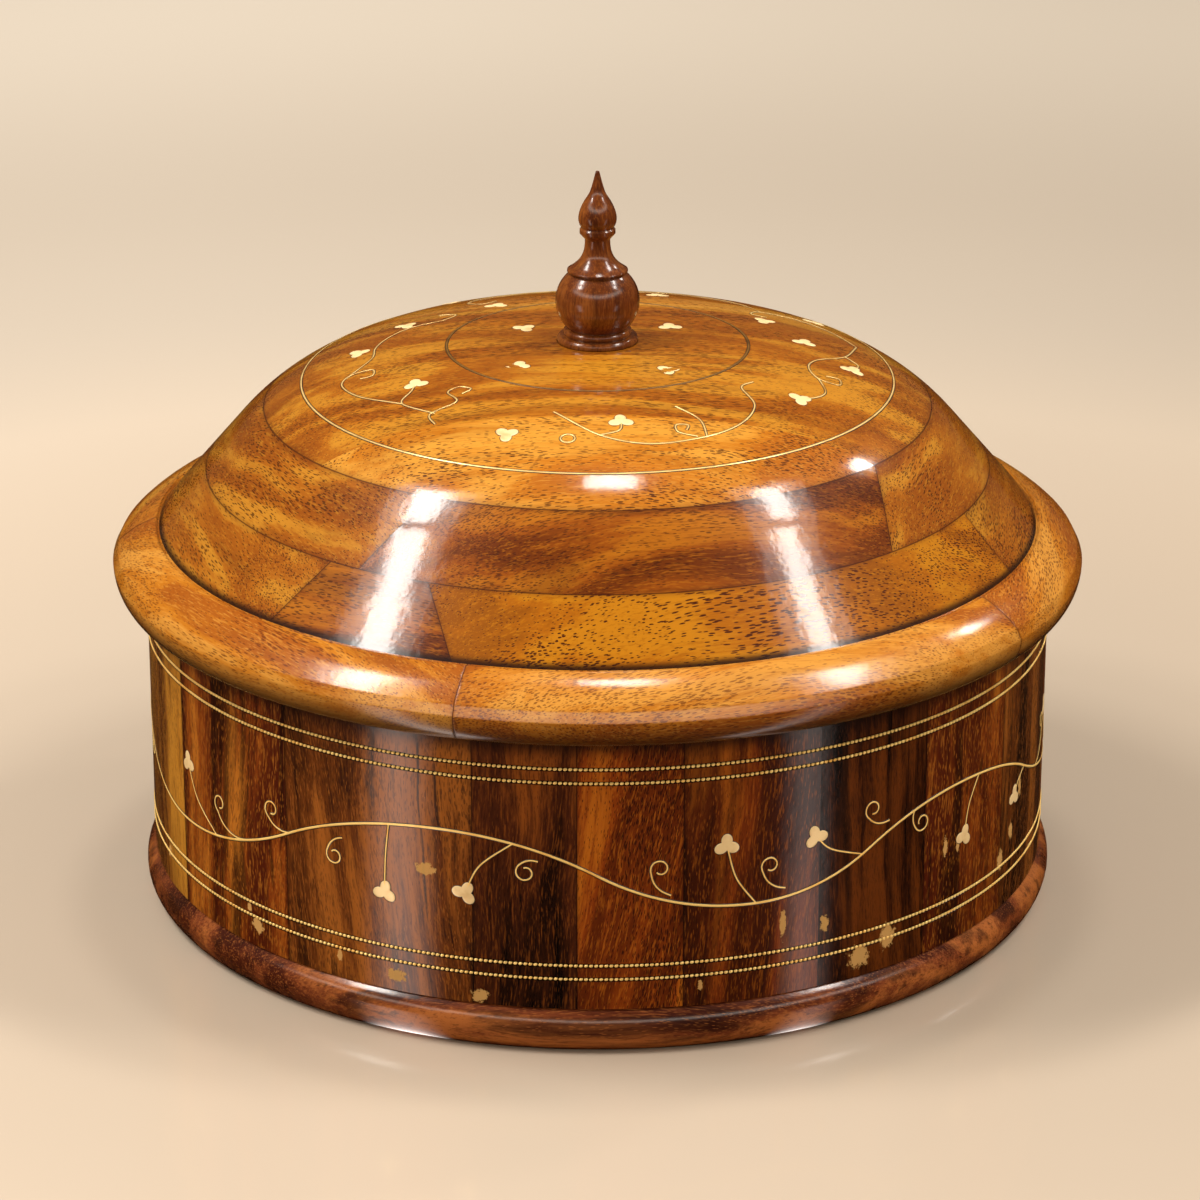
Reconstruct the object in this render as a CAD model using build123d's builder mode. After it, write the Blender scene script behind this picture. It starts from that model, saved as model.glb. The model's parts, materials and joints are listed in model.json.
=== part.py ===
from build123d import *
from math import asin, cos, degrees, radians, sin, tan
import os

# A wooden box for rotis: a bowl of upright staves on a turned foot ring, and a domed lid
# built up from glued rings, both inlaid with brass.
# Sizes are in millimetres and angles in degrees. The table is at Z = 0, the axis is Z and
# the front faces -Y. A place round the axis is an angle from the front towards +X.

# Bowl: wall, foot ring and bottom
WALL_RADIUS = 130.6
WALL_THICKNESS = 9.0
WALL_HEIGHT = 78.5
WALL_EDGE = 0.6
FOOT_HEIGHT = 12.5
FOOT_BULGE = 2.6
FOOT_SPLAY = 1.0
FOOT_QUIRK = 0.8
LEDGE_WIDTH = 9.6
LEDGE_HEIGHT = 4.0
BOTTOM_THICKNESS = 10.0
BOTTOM_FIT = 0.1
MIDDLE_BOARD_WIDTH = 79.0
STAVE_JOINT_ANGLES = (
    -63.3, -40.7, -14.9, -2.4, 10.2, 27.4, 43.5, 60.5, 79.0, 96.0,
    115.0, 132.0, 150.0, 168.0, 186.0, 204.0, 222.0, 240.0, 258.0, 277.0,
)

# Lid: rim, dome and glue lines
RIM_OVERHANG = 9.4
RIM_THICKNESS = 18.2
RIM_NOSE = 8.3
RIM_CREASE = 11.3
RIM_CREASE_INSET = 1.5
RIM_UNDERSIDE = 3.4
RIM_CROWNING = 0.7
QUIRK_WIDTH = 1.0
QUIRK_DEPTH = 0.8
RIM_TOP_WIDTH = 13.5
SPIGOT_LENGTH = 5.0
SPIGOT_CLEARANCE = 0.6
SPIGOT_CHAMFER = 0.8
LID_WALL = 10.0
FLANK_LENGTH = 32.99
FLANK_ANGLE = 49.2
SHOULDER_RADIUS = 64.0
BROW_ANGLE = 16.0
BROW_RADIUS = 170.0
CROWN_RADIUS = 700.0
LOWER_BAND_HEIGHT = 16.1
CROWN_EDGE_ANGLE = 37.7
RIM_JOINT_ANGLE = -15.8
RIM_SEGMENTS = 5
# Each glue joint of a band: its angle at the band's top and at its foot
LOWER_BAND_JOINT_ANGLES = (
    (-23.7, -17.8), (65.1, 65.8), (118.0, 121.0), (188.0, 186.0), (250.0, 254.0), (320.2, 315.3),
)
UPPER_BAND_JOINT_ANGLES = (
    (-27.1, -34.8), (52.9, 45.5), (118.0, 122.0), (190.0, 187.0), (262.0, 259.0),
)
# The glue joints of the crown's boards, towards the front and the back
CROWN_FRONT_JOINT = 58.0
CROWN_MIDDLE_JOINT = 14.0
CROWN_BACK_JOINT = 38.0
MARGIN_ANGLE = 6.0

# Finial and its screw
FINIAL_FOOT_RADIUS = 11.6
FINIAL_FOOT_HEIGHT = 2.6
FINIAL_FOOT_BULGE = 0.7
FINIAL_RING_RADIUS = 9.3
FINIAL_RING_HEIGHT = 2.1
FINIAL_RING_BULGE = 0.5
BALL_RADIUS = 12.0
BALL_WAIST_RADIUS = 8.5
BALL_TOP_RADIUS = 8.0
BALL_HEIGHT = 16.2
NECK_FOOT_RADIUS = 8.65
NECK_FOOT_GROOVE = 0.45
NECK_FOOT_LIP = 0.5
NECK_SWELL = 0.9
NECK_RADIUS = 3.6
NECK_HEIGHT = 9.9
COLLAR_RADIUS = 5.1
COLLAR_FLARE = 1.7
COLLAR_HEIGHT = 1.1
BUD_NOTCH = 0.6
BUD_RADIUS = 5.45
BUD_HEIGHT = 16.9
BUD_BELLY = 3.3
BUD_TAPER_RADIUS = 3.3
BUD_TAPER_HEIGHT = 9.0
TIP_RADIUS = 0.5
SEAT_DEPTH = 0.8
PIN_RADIUS = 5.0
PIN_LENGTH = 4.0
PIN_FIT = 0.1
SCREW_RADIUS = 1.7
SCREW_LENGTH = 19.0
SCREW_TIP = 3.0
SCREW_HEAD_RADIUS = 3.5
SCREW_HEAD_HEIGHT = 1.9
SCREW_SLOT = 0.9
SCREW_FIT = 0.05

# Brass inlay, hammered into cut grooves
HOOP_WIDTH = 0.9
HOOP_DEPTH = 0.8
HOOP_DROP = 8.5
HOOP_RISE = 8.8
HOOP_SPACING = 4.0
INLAY_DEPTH = 0.9
INLAY_FIT = 0.05
OUTER_CIRCLE_INSET = 10.9
INNER_CIRCLE_RADIUS = 43.1
CIRCLE_WIDTH = 0.7
STEM_WIDTH = 0.8
STEM_BUTT_ANGLE = 0.03
# The turning points of the stem on the wall: each one's angle and its height on the panel
# between the pairs of wires, in percent
STEM_ANGLES = (
    (-62.5, 25), (-18.8, 70), (19.0, 29), (50.0, 64), (86.0, 29), (122.0, 68),
    (158.0, 27), (194.0, 69), (229.0, 28), (263.0, 65), (297.5, 25),
)

# Levels and radii worked out from the sizes above
INNER_RADIUS = WALL_RADIUS - WALL_THICKNESS
WALL_TOP = FOOT_HEIGHT + WALL_HEIGHT
RIM_RADIUS = WALL_RADIUS + RIM_OVERHANG
RIM_TOP = WALL_TOP + RIM_THICKNESS
DOME_FOOT = RIM_RADIUS - RIM_TOP_WIDTH
LID_BORE = DOME_FOOT - LID_WALL / sin(radians(FLANK_ANGLE))
SPIGOT_RADIUS = INNER_RADIUS - SPIGOT_CLEARANCE
LOWER_BAND_TOP = RIM_TOP + LOWER_BAND_HEIGHT
PANEL_TOP = WALL_TOP - HOOP_DROP - HOOP_SPACING
PANEL_FOOT = FOOT_HEIGHT + HOOP_RISE + HOOP_SPACING
HOOP_HEIGHTS = (WALL_TOP - HOOP_DROP, PANEL_TOP, PANEL_FOOT, FOOT_HEIGHT + HOOP_RISE)
FULL_ANGLE = 360.0
QUARTER_ANGLE = FULL_ANGLE / 4

# How far a glue plane is drawn past the wood, inwards, outwards and round the outside
PAST_INSIDE = 2 * LID_WALL
PAST_OUTSIDE = 3 * RIM_TOP_WIDTH
FAR_OUTSIDE = 2 * RIM_RADIUS


def outward(angle):
    """The level direction from the axis towards an angle."""
    return Vector(sin(radians(angle)), -cos(radians(angle)), 0)


def radial_plane(angle):
    """The upright plane through the axis at an angle: its X is the radius and its Y is up."""
    return Plane(origin=(0, 0, 0), x_dir=outward(angle), z_dir=outward(angle - 90))


def wall_plane(angle):
    """The plane that touches the bowl's wall at an angle, seen from outside."""
    return Plane(origin=outward(angle) * WALL_RADIUS, x_dir=outward(angle + 90), z_dir=outward(angle))


def spans(joints):
    """Each joint with the next one round the circle."""
    following = joints[1:] + (joints[0],)
    return list(zip(joints, following))


def finish(builder, name):
    """Label a finished piece and write it."""
    builder.part.label = name
    export_step(builder.part, f"parts/{name}.step")


# The dome's line, from the crown down to the foot of the flank. The crown's arc takes the
# width that the flank, the shoulder and the brow leave.

CROWN_ANGLE = degrees(
    asin(
        (
            DOME_FOOT
            - FLANK_LENGTH * cos(radians(FLANK_ANGLE))
            - SHOULDER_RADIUS * (sin(radians(FLANK_ANGLE)) - sin(radians(BROW_ANGLE)))
            - BROW_RADIUS * sin(radians(BROW_ANGLE))
        )
        / (CROWN_RADIUS - BROW_RADIUS)
    )
)
DOME_TOP = (
    RIM_TOP
    + CROWN_RADIUS * (1 - cos(radians(CROWN_ANGLE)))
    + BROW_RADIUS * (cos(radians(CROWN_ANGLE)) - cos(radians(BROW_ANGLE)))
    + SHOULDER_RADIUS * (cos(radians(BROW_ANGLE)) - cos(radians(FLANK_ANGLE)))
    + FLANK_LENGTH * sin(radians(FLANK_ANGLE))
)
CROWN_FOOT = (
    RIM_TOP
    + FLANK_LENGTH * sin(radians(FLANK_ANGLE))
    + SHOULDER_RADIUS * (cos(radians(CROWN_EDGE_ANGLE)) - cos(radians(FLANK_ANGLE)))
)
CROWN_REACH = (
    DOME_FOOT
    - FLANK_LENGTH * cos(radians(FLANK_ANGLE))
    - SHOULDER_RADIUS * (sin(radians(FLANK_ANGLE)) - sin(radians(CROWN_EDGE_ANGLE)))
)
LOWER_BAND_REACH = DOME_FOOT - LOWER_BAND_HEIGHT / tan(radians(FLANK_ANGLE))
OUTER_CIRCLE_RADIUS = CROWN_REACH - OUTER_CIRCLE_INSET
DOME_FLOOR = RIM_TOP - LID_WALL
CEILING = DOME_TOP - LID_WALL
SEAT_LEVEL = DOME_TOP - SEAT_DEPTH


def dome_section(inset, mode=Mode.ADD):
    """Half of the dome's cross section, drawn in by an inset all over, down to its floor."""
    with BuildLine() as outline:
        crown = JernArc((0, DOME_TOP - inset), (1, 0), CROWN_RADIUS - inset, -CROWN_ANGLE)
        brow = JernArc(crown @ 1, crown % 1, BROW_RADIUS - inset, CROWN_ANGLE - BROW_ANGLE)
        shoulder = JernArc(brow @ 1, brow % 1, SHOULDER_RADIUS - inset, BROW_ANGLE - FLANK_ANGLE)
        flank = Line(shoulder @ 1, shoulder @ 1 + (shoulder % 1) * FLANK_LENGTH)
        foot = flank @ 1
        Polyline(foot, (foot.X, DOME_FLOOR), (0, DOME_FLOOR), crown @ 0)
    make_face(outline.edges(), mode=mode)


def dome_shell_section(low, high):
    """The lid's wall between two levels."""
    dome_section(0)
    dome_section(LID_WALL, mode=Mode.SUBTRACT)
    with Locations((0, low)):
        Rectangle(RIM_RADIUS, high - low, align=(Align.MIN, Align.MIN), mode=Mode.INTERSECT)


# Bowl


def make_foot_ring():
    """A turned ring: a round bead outside and a ledge inside that carries the bottom."""
    with BuildPart() as foot_ring:
        with BuildSketch(Plane.XZ):
            with BuildLine():
                ledge = INNER_RADIUS - LEDGE_WIDTH
                bead = ThreePointArc(
                    (WALL_RADIUS - FOOT_SPLAY, 0),
                    (WALL_RADIUS + FOOT_BULGE, FOOT_HEIGHT / 2),
                    (WALL_RADIUS, FOOT_HEIGHT - FOOT_QUIRK),
                )
                Polyline(
                    bead @ 1,
                    (WALL_RADIUS - FOOT_QUIRK, FOOT_HEIGHT),
                    (INNER_RADIUS, FOOT_HEIGHT),
                    (INNER_RADIUS, LEDGE_HEIGHT),
                    (ledge, LEDGE_HEIGHT),
                    (ledge, 0),
                    bead @ 0,
                )
            make_face()
        revolve(axis=Axis.Z)
    finish(foot_ring, "foot_ring")


def make_bottom_boards():
    """Boards glued edge to edge and turned to a disc that lies on the foot ring's ledge."""
    radius = INNER_RADIUS - BOTTOM_FIT
    edges = (-radius, -MIDDLE_BOARD_WIDTH / 2, MIDDLE_BOARD_WIDTH / 2, radius)
    for number, (near, far) in enumerate(zip(edges, edges[1:]), 1):
        with BuildPart() as board:
            with BuildSketch(Plane.XY.offset(LEDGE_HEIGHT)):
                Circle(radius)
                with Locations((0, near)):
                    Rectangle(2 * radius, far - near, align=(Align.CENTER, Align.MIN), mode=Mode.INTERSECT)
            extrude(amount=BOTTOM_THICKNESS)
        finish(board, f"bottom_board_{number}")


def hoop_notch(height, grow):
    """Three points of a V that is cut into the wall, or of the wire that fills it."""
    half = HOOP_WIDTH / 2 + grow
    depth = HOOP_DEPTH + grow
    return [(WALL_RADIUS, height + half), (WALL_RADIUS - depth, height), (WALL_RADIUS, height - half)]


def make_wall_wires():
    """Four brass wires that ring the wall in pairs, near its top and near its foot."""
    for number, height in enumerate(HOOP_HEIGHTS, 1):
        with BuildPart() as wire:
            with BuildSketch(Plane.XZ):
                with BuildLine():
                    Polyline(*hoop_notch(height, 0), close=True)
                make_face()
            revolve(axis=Axis.Z)
        finish(wire, f"wall_wire_{number}")


def make_staves(pockets):
    """The wall: upright staves with radial joints, turned, notched and cut for the brass."""
    for number, (start, end) in enumerate(spans(STAVE_JOINT_ANGLES), 1):
        width = (end - start) % FULL_ANGLE
        with BuildPart() as stave:
            with BuildSketch(radial_plane(start)):
                with BuildLine():
                    outline = [
                        (INNER_RADIUS, FOOT_HEIGHT),
                        (INNER_RADIUS, WALL_TOP),
                        (WALL_RADIUS - WALL_EDGE, WALL_TOP),
                        (WALL_RADIUS, WALL_TOP - WALL_EDGE),
                    ]
                    for height in HOOP_HEIGHTS:
                        outline += hoop_notch(height, INLAY_FIT)
                    outline.append((WALL_RADIUS, FOOT_HEIGHT))
                    Polyline(*outline, close=True)
                make_face()
            revolve(axis=Axis.Z, revolution_arc=width)
            for middle, reach, pocket in pockets:
                if overlaps(middle, reach, start, width):
                    add(pocket, mode=Mode.SUBTRACT)
        finish(stave, f"stave_{number:02d}")


def overlaps(middle, reach, start, width):
    """Whether inlay at an angle, with its reach to each side, comes onto a stave."""
    from_centre = (middle - start - width / 2 + FULL_ANGLE / 2) % FULL_ANGLE - FULL_ANGLE / 2
    return abs(from_centre) < reach + width / 2


# Stem of the vine on the wall


def on_panel(turn, middle):
    """A turning point of the stem, drawn on the plane that touches the wall at its middle."""
    angle, percentage = turn
    height = PANEL_FOOT + (PANEL_TOP - PANEL_FOOT) * percentage / 100
    return Vector(WALL_RADIUS * sin(radians(angle - middle)), height)


def wall_skin(start, width, depth, proud):
    """A thin piece of sleeve at the wall's face, from one angle over a width."""
    with BuildPart() as skin:
        with BuildSketch(radial_plane(start)):
            with Locations((WALL_RADIUS - depth, PANEL_FOOT)):
                Rectangle(depth + proud, PANEL_TOP - PANEL_FOOT, align=(Align.MIN, Align.MIN))
        revolve(axis=Axis.Z, revolution_arc=width)
    return skin.part


def stem_length(here, there, grow, proud, margin):
    """The stem from one turning point to the next: its middle, its reach to each side and its body."""
    middle = (here[0] + there[0]) / 2
    reach = (there[0] - here[0]) / 2 + margin
    start = on_panel(here, middle)
    end = on_panel(there, middle)
    with BuildPart() as wire:
        with BuildSketch(wall_plane(middle)):
            with BuildLine() as path:
                rise = TangentArc(start, (start + end) / 2, tangent=(1, 0))
                TangentArc(rise @ 1, end, tangent=rise % 1)
            trace(path.line, line_width=STEM_WIDTH + 2 * grow)
        extrude(amount=WALL_THICKNESS, both=True)
        add(wall_skin(middle - reach, 2 * reach, INLAY_DEPTH + grow, proud), mode=Mode.INTERSECT)
    return middle, reach, wire.part


def stem_lengths(grow, proud, margin):
    """All lengths of the stem: the brass itself, or the grooves for it."""
    return [stem_length(*ends, grow, proud, margin) for ends in zip(STEM_ANGLES, STEM_ANGLES[1:])]


def make_wall_vine():
    """The stem on the wall: a brass wire laid in lengths that butt."""
    lengths = stem_lengths(0, 0, -STEM_BUTT_ANGLE)
    with BuildPart() as vine:
        add([wire for middle, reach, wire in lengths])
    finish(vine, "wall_vine")


# Lid


def make_rim_segments():
    """The rim: five glued segments with a spigot that drops inside the bowl."""
    step = FULL_ANGLE / RIM_SEGMENTS
    for number in range(1, RIM_SEGMENTS + 1):
        with BuildPart() as segment:
            with BuildSketch(radial_plane(RIM_JOINT_ANGLE + step * (number - 1))):
                with BuildLine():
                    crease = (RIM_RADIUS - RIM_CREASE_INSET, WALL_TOP + RIM_CREASE)
                    nose = (RIM_RADIUS, WALL_TOP + RIM_NOSE)
                    underside = (WALL_RADIUS + RIM_UNDERSIDE, WALL_TOP)
                    quirk = (DOME_FOOT + QUIRK_WIDTH, RIM_TOP)
                    slope = Vector(*crease) - Vector(*quirk)
                    crowning = Vector(-slope.Y, slope.X).normalized() * RIM_CROWNING
                    EllipticalCenterArc(
                        (underside[0], nose[1]),
                        nose[0] - underside[0],
                        RIM_NOSE,
                        start_angle=-QUARTER_ANGLE,
                        arc_size=QUARTER_ANGLE,
                    )
                    Line(nose, crease)
                    ThreePointArc(crease, (Vector(*crease) + Vector(*quirk)) / 2 + crowning, quirk)
                    Polyline(
                        quirk,
                        (DOME_FOOT + QUIRK_WIDTH / 2, RIM_TOP - QUIRK_DEPTH),
                        (DOME_FOOT, RIM_TOP),
                        (LID_BORE, RIM_TOP),
                        (LID_BORE, WALL_TOP - SPIGOT_LENGTH),
                        (SPIGOT_RADIUS - SPIGOT_CHAMFER, WALL_TOP - SPIGOT_LENGTH),
                        (SPIGOT_RADIUS, WALL_TOP - SPIGOT_LENGTH + SPIGOT_CHAMFER),
                        (SPIGOT_RADIUS, WALL_TOP),
                        underside,
                    )
                make_face()
            revolve(axis=Axis.Z, revolution_arc=step)
        finish(segment, f"rim_segment_{number}")


def joint_ends(joint, top_radius, foot_radius):
    """Two far points of the upright glue plane through a joint's two places on the dome."""
    top = outward(joint[0]) * top_radius
    foot = outward(joint[1]) * foot_radius
    along = (foot - top).normalized()
    return top - along * PAST_INSIDE, foot + along * PAST_OUTSIDE


def make_band(name, low, high, joints, top_radius, foot_radius):
    """One glued ring of the dome, cut from straight boards."""
    for number, (here, there) in enumerate(spans(joints), 1):
        start = min(here) - MARGIN_ANGLE
        width = (max(there) - start) % FULL_ANGLE + MARGIN_ANGLE
        middle = outward(start + width / 2) * FAR_OUTSIDE
        near_inner, near_outer = joint_ends(here, top_radius, foot_radius)
        far_inner, far_outer = joint_ends(there, top_radius, foot_radius)
        with BuildPart() as segment:
            with BuildSketch(radial_plane(start)):
                dome_shell_section(low, high)
            revolve(axis=Axis.Z, revolution_arc=width)
            with BuildSketch(Plane.XY.offset(low)):
                corners = [near_inner, near_outer, middle, far_outer, far_inner]
                Polygon(*[(corner.X, corner.Y) for corner in corners], align=None)
            extrude(amount=high - low, mode=Mode.INTERSECT)
        finish(segment, f"{name}_{number}")


def make_bands():
    """The two rings of the dome between the rim and the crown."""
    make_band("lower_band", RIM_TOP, LOWER_BAND_TOP, LOWER_BAND_JOINT_ANGLES, LOWER_BAND_REACH, DOME_FOOT)
    make_band(
        "upper_band", LOWER_BAND_TOP, CROWN_FOOT, UPPER_BAND_JOINT_ANGLES, CROWN_REACH, LOWER_BAND_REACH
    )


def make_crown_boards():
    """The crown: boards glued edge to edge, turned, grooved, and bored for the finial's pin and screw."""
    with BuildPart() as crown:
        with BuildSketch(Plane.XZ):
            dome_shell_section(CROWN_FOOT, DOME_TOP)
        revolve(axis=Axis.Z)
        with BuildSketch(Plane.XZ):
            finial_seat_section()
        revolve(axis=Axis.Z, mode=Mode.SUBTRACT)
        for radius in (OUTER_CIRCLE_RADIUS, INNER_CIRCLE_RADIUS):
            add(lid_circle(radius, INLAY_FIT, INLAY_DEPTH).part, mode=Mode.SUBTRACT)
    edges = (-CROWN_REACH, -CROWN_FRONT_JOINT, -CROWN_MIDDLE_JOINT, CROWN_BACK_JOINT, CROWN_REACH)
    for number, (near, far) in enumerate(zip(edges, edges[1:]), 1):
        with BuildPart() as board:
            add(crown.part)
            with BuildSketch(Plane.XY.offset(CROWN_FOOT)):
                with Locations((0, near)):
                    Rectangle(2 * CROWN_REACH, far - near, align=(Align.CENTER, Align.MIN))
            extrude(amount=DOME_TOP - CROWN_FOOT, mode=Mode.INTERSECT)
        finish(board, f"crown_board_{number}")


def finial_seat_section():
    """Half of the hole through the crown: seat, socket, screw hole and countersink."""
    seat = FINIAL_FOOT_RADIUS + PIN_FIT
    socket = PIN_RADIUS + PIN_FIT / 2
    socket_floor = SEAT_LEVEL - PIN_LENGTH - PIN_FIT
    bore = SCREW_RADIUS + SCREW_FIT
    sink = SCREW_HEAD_RADIUS + SCREW_FIT
    with BuildLine() as outline:
        Polyline(
            (0, DOME_TOP + SEAT_DEPTH),
            (seat, DOME_TOP + SEAT_DEPTH),
            (seat, SEAT_LEVEL),
            (socket, SEAT_LEVEL),
            (socket, socket_floor),
            (bore, socket_floor),
            (bore, CEILING + SCREW_HEAD_HEIGHT),
            (sink, CEILING),
            (sink, CEILING - SEAT_DEPTH),
            (0, CEILING - SEAT_DEPTH),
            close=True,
        )
    make_face(outline.edges())


def lid_circle_faces(radius, width):
    """A flat ring about the axis."""
    Circle(radius + width / 2)
    Circle(radius - width / 2, mode=Mode.SUBTRACT)


def cut_to_crown(depth, proud):
    """Keep of the part being built what lies just under the crown's face."""
    with BuildSketch(Plane.XZ, mode=Mode.PRIVATE) as section:
        dome_section(-proud)
        dome_section(depth, mode=Mode.SUBTRACT)
    revolve(section.sketch, axis=Axis.Z, mode=Mode.INTERSECT)


def lid_circle(radius, grow, proud):
    """A round brass wire in the crown, or the groove for it."""
    with BuildPart() as circle:
        with BuildSketch(Plane.XY.offset(DOME_TOP + proud)):
            lid_circle_faces(radius, CIRCLE_WIDTH + 2 * grow)
        extrude(amount=CROWN_FOOT - DOME_TOP - proud)
        cut_to_crown(INLAY_DEPTH + grow, proud)
    return circle


def make_lid_circles():
    """Two brass circles in the crown."""
    finish(lid_circle(OUTER_CIRCLE_RADIUS, 0, 0), "lid_circle_outer")
    finish(lid_circle(INNER_CIRCLE_RADIUS, 0, 0), "lid_circle_inner")


def make_finial():
    """The turned finial: foot, ring, ball, waisted neck, collar and a pointed bud."""
    ring_level = SEAT_LEVEL + FINIAL_FOOT_HEIGHT
    ball_level = ring_level + FINIAL_RING_HEIGHT
    ball_top = ball_level + BALL_HEIGHT
    neck_top = ball_top + NECK_HEIGHT
    collar = neck_top + COLLAR_FLARE
    collar_top = collar + COLLAR_HEIGHT
    tip = collar_top + BUD_HEIGHT
    bore = SCREW_RADIUS + SCREW_FIT
    bore_top = CEILING + SCREW_LENGTH + SCREW_FIT
    with BuildPart() as finial:
        with BuildSketch(Plane.XZ):
            with BuildLine():
                foot = FINIAL_FOOT_RADIUS - FINIAL_FOOT_BULGE
                Polyline(
                    (0, tip),
                    (0, bore_top),
                    (bore, bore_top),
                    (bore, SEAT_LEVEL - PIN_LENGTH),
                    (PIN_RADIUS, SEAT_LEVEL - PIN_LENGTH),
                    (PIN_RADIUS, SEAT_LEVEL),
                    (foot, SEAT_LEVEL),
                )
                ThreePointArc(
                    (foot, SEAT_LEVEL),
                    (FINIAL_FOOT_RADIUS, SEAT_LEVEL + FINIAL_FOOT_HEIGHT / 2),
                    (foot, ring_level),
                )
                Line((foot, ring_level), (FINIAL_RING_RADIUS, ring_level))
                ThreePointArc(
                    (FINIAL_RING_RADIUS, ring_level),
                    (FINIAL_RING_RADIUS + FINIAL_RING_BULGE, ring_level + FINIAL_RING_HEIGHT / 2),
                    (BALL_WAIST_RADIUS, ball_level),
                )
                ball = ThreePointArc(
                    (BALL_WAIST_RADIUS, ball_level),
                    (BALL_RADIUS, ball_level + BALL_HEIGHT / 2),
                    (BALL_TOP_RADIUS, ball_top),
                )
                groove = Polyline(
                    ball @ 1,
                    (BALL_TOP_RADIUS, ball_top + NECK_FOOT_GROOVE),
                    (NECK_FOOT_RADIUS, ball_top + NECK_FOOT_GROOVE),
                    (NECK_FOOT_RADIUS, ball_top + NECK_FOOT_GROOVE + NECK_FOOT_LIP),
                )
                neck = Spline(
                    groove @ 1,
                    (NECK_RADIUS + NECK_SWELL, ball_top + NECK_HEIGHT / 2),
                    (NECK_RADIUS, neck_top),
                    tangents=[(-1, 0.6), (0, 1)],
                )
                Polyline(
                    neck @ 1,
                    (COLLAR_RADIUS, collar),
                    (COLLAR_RADIUS, collar_top),
                    (COLLAR_RADIUS - BUD_NOTCH, collar_top + BUD_NOTCH),
                )
                Spline(
                    (COLLAR_RADIUS - BUD_NOTCH, collar_top + BUD_NOTCH),
                    (BUD_RADIUS, collar_top + BUD_BELLY),
                    (BUD_TAPER_RADIUS, collar_top + BUD_TAPER_HEIGHT),
                    (TIP_RADIUS, tip),
                    tangents=[(1, 1), (-0.25, 1)],
                )
                Line((TIP_RADIUS, tip), (0, tip))
            make_face()
        revolve(axis=Axis.Z)
    finish(finial, "finial")


def make_finial_screw():
    """A countersunk wood screw, driven from inside the lid into the finial."""
    with BuildPart() as screw:
        with BuildSketch(Plane.XZ):
            with BuildLine():
                Polyline(
                    (0, CEILING),
                    (SCREW_HEAD_RADIUS, CEILING),
                    (SCREW_RADIUS, CEILING + SCREW_HEAD_HEIGHT),
                    (SCREW_RADIUS, CEILING + SCREW_LENGTH - SCREW_TIP),
                    (0, CEILING + SCREW_LENGTH),
                    close=True,
                )
            make_face()
        revolve(axis=Axis.Z)
        with BuildSketch(Plane.XY.offset(CEILING)):
            Rectangle(2 * SCREW_HEAD_RADIUS, SCREW_SLOT)
        extrude(amount=SCREW_SLOT, mode=Mode.SUBTRACT)
    finish(screw, "finial_screw")


os.makedirs("parts", exist_ok=True)

make_foot_ring()
make_bottom_boards()
make_wall_wires()
make_wall_vine()
make_staves(stem_lengths(INLAY_FIT, INLAY_DEPTH, MARGIN_ANGLE))
make_rim_segments()
make_bands()
make_lid_circles()
make_crown_boards()
make_finial()
make_finial_screw()
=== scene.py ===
# %% [markdown]
# # A wooden box for rotis
#
# The box is a bowl of upright staves on a dark turned foot, with a domed lid glued up from
# rings of curved boards. The wood is sheesham, and thin brass wire is hammered into grooves
# cut in it. A thick clear lacquer lies over the whole.
#
# The shape of every wooden piece comes from the CAD frame and stays as it is. This lesson
# gives the pieces their finish, and adds what the turner and the inlayer do by hand: the
# twisted wires, the vine, its leaves, and the marks of years on a kitchen table.

import bpy
import json
from math import atan2, cos, hypot, pi, radians, sin, sqrt
from mathutils import Matrix, Vector
from mathutils.geometry import interpolate_bezier

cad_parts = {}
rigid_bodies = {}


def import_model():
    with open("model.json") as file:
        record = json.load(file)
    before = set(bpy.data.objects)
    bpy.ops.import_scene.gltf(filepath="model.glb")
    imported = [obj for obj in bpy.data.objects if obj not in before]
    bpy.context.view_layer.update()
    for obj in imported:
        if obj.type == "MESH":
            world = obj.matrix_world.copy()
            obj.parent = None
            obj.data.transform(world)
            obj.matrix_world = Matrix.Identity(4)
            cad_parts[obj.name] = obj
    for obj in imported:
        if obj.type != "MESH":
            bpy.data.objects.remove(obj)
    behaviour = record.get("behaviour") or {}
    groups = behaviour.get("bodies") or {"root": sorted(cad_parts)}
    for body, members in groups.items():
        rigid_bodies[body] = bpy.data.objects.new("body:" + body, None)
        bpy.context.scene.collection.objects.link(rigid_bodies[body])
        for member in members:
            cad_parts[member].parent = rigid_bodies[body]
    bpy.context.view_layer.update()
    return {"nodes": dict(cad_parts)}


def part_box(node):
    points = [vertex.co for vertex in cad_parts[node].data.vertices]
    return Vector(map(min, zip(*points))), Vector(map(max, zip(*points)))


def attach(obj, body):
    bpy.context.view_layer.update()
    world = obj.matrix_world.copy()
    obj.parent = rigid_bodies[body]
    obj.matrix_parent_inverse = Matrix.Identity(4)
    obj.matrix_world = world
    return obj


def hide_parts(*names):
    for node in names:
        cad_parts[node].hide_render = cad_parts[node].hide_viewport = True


for leftover in list(bpy.data.objects):
    bpy.data.objects.remove(leftover)
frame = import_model()
nodes = frame["nodes"]
MM = 0.001


# %% [markdown]
# ## The sizes that the finish needs
#
# The lines in the finish follow the joints of the wood, so they are measured on the frame and
# not typed again. A stave gives the wall, a rim segment the top of the rim, and a crown board
# the foot of the crown.


# %% Measure the wooden pieces
def radius_of(name):
    """The largest distance of a piece from the box's axis."""
    return max(hypot(vertex.co.x, vertex.co.y) for vertex in nodes[name].data.vertices)


wall_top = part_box("stave_01")[1].z
wall_radius = radius_of("stave_01")
rim_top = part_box("rim_segment_1")[1].z
crown_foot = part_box("crown_board_2")[0].z
print("wall", wall_radius, wall_top, "top of the rim", rim_top, "foot of the crown", crown_foot)

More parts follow.
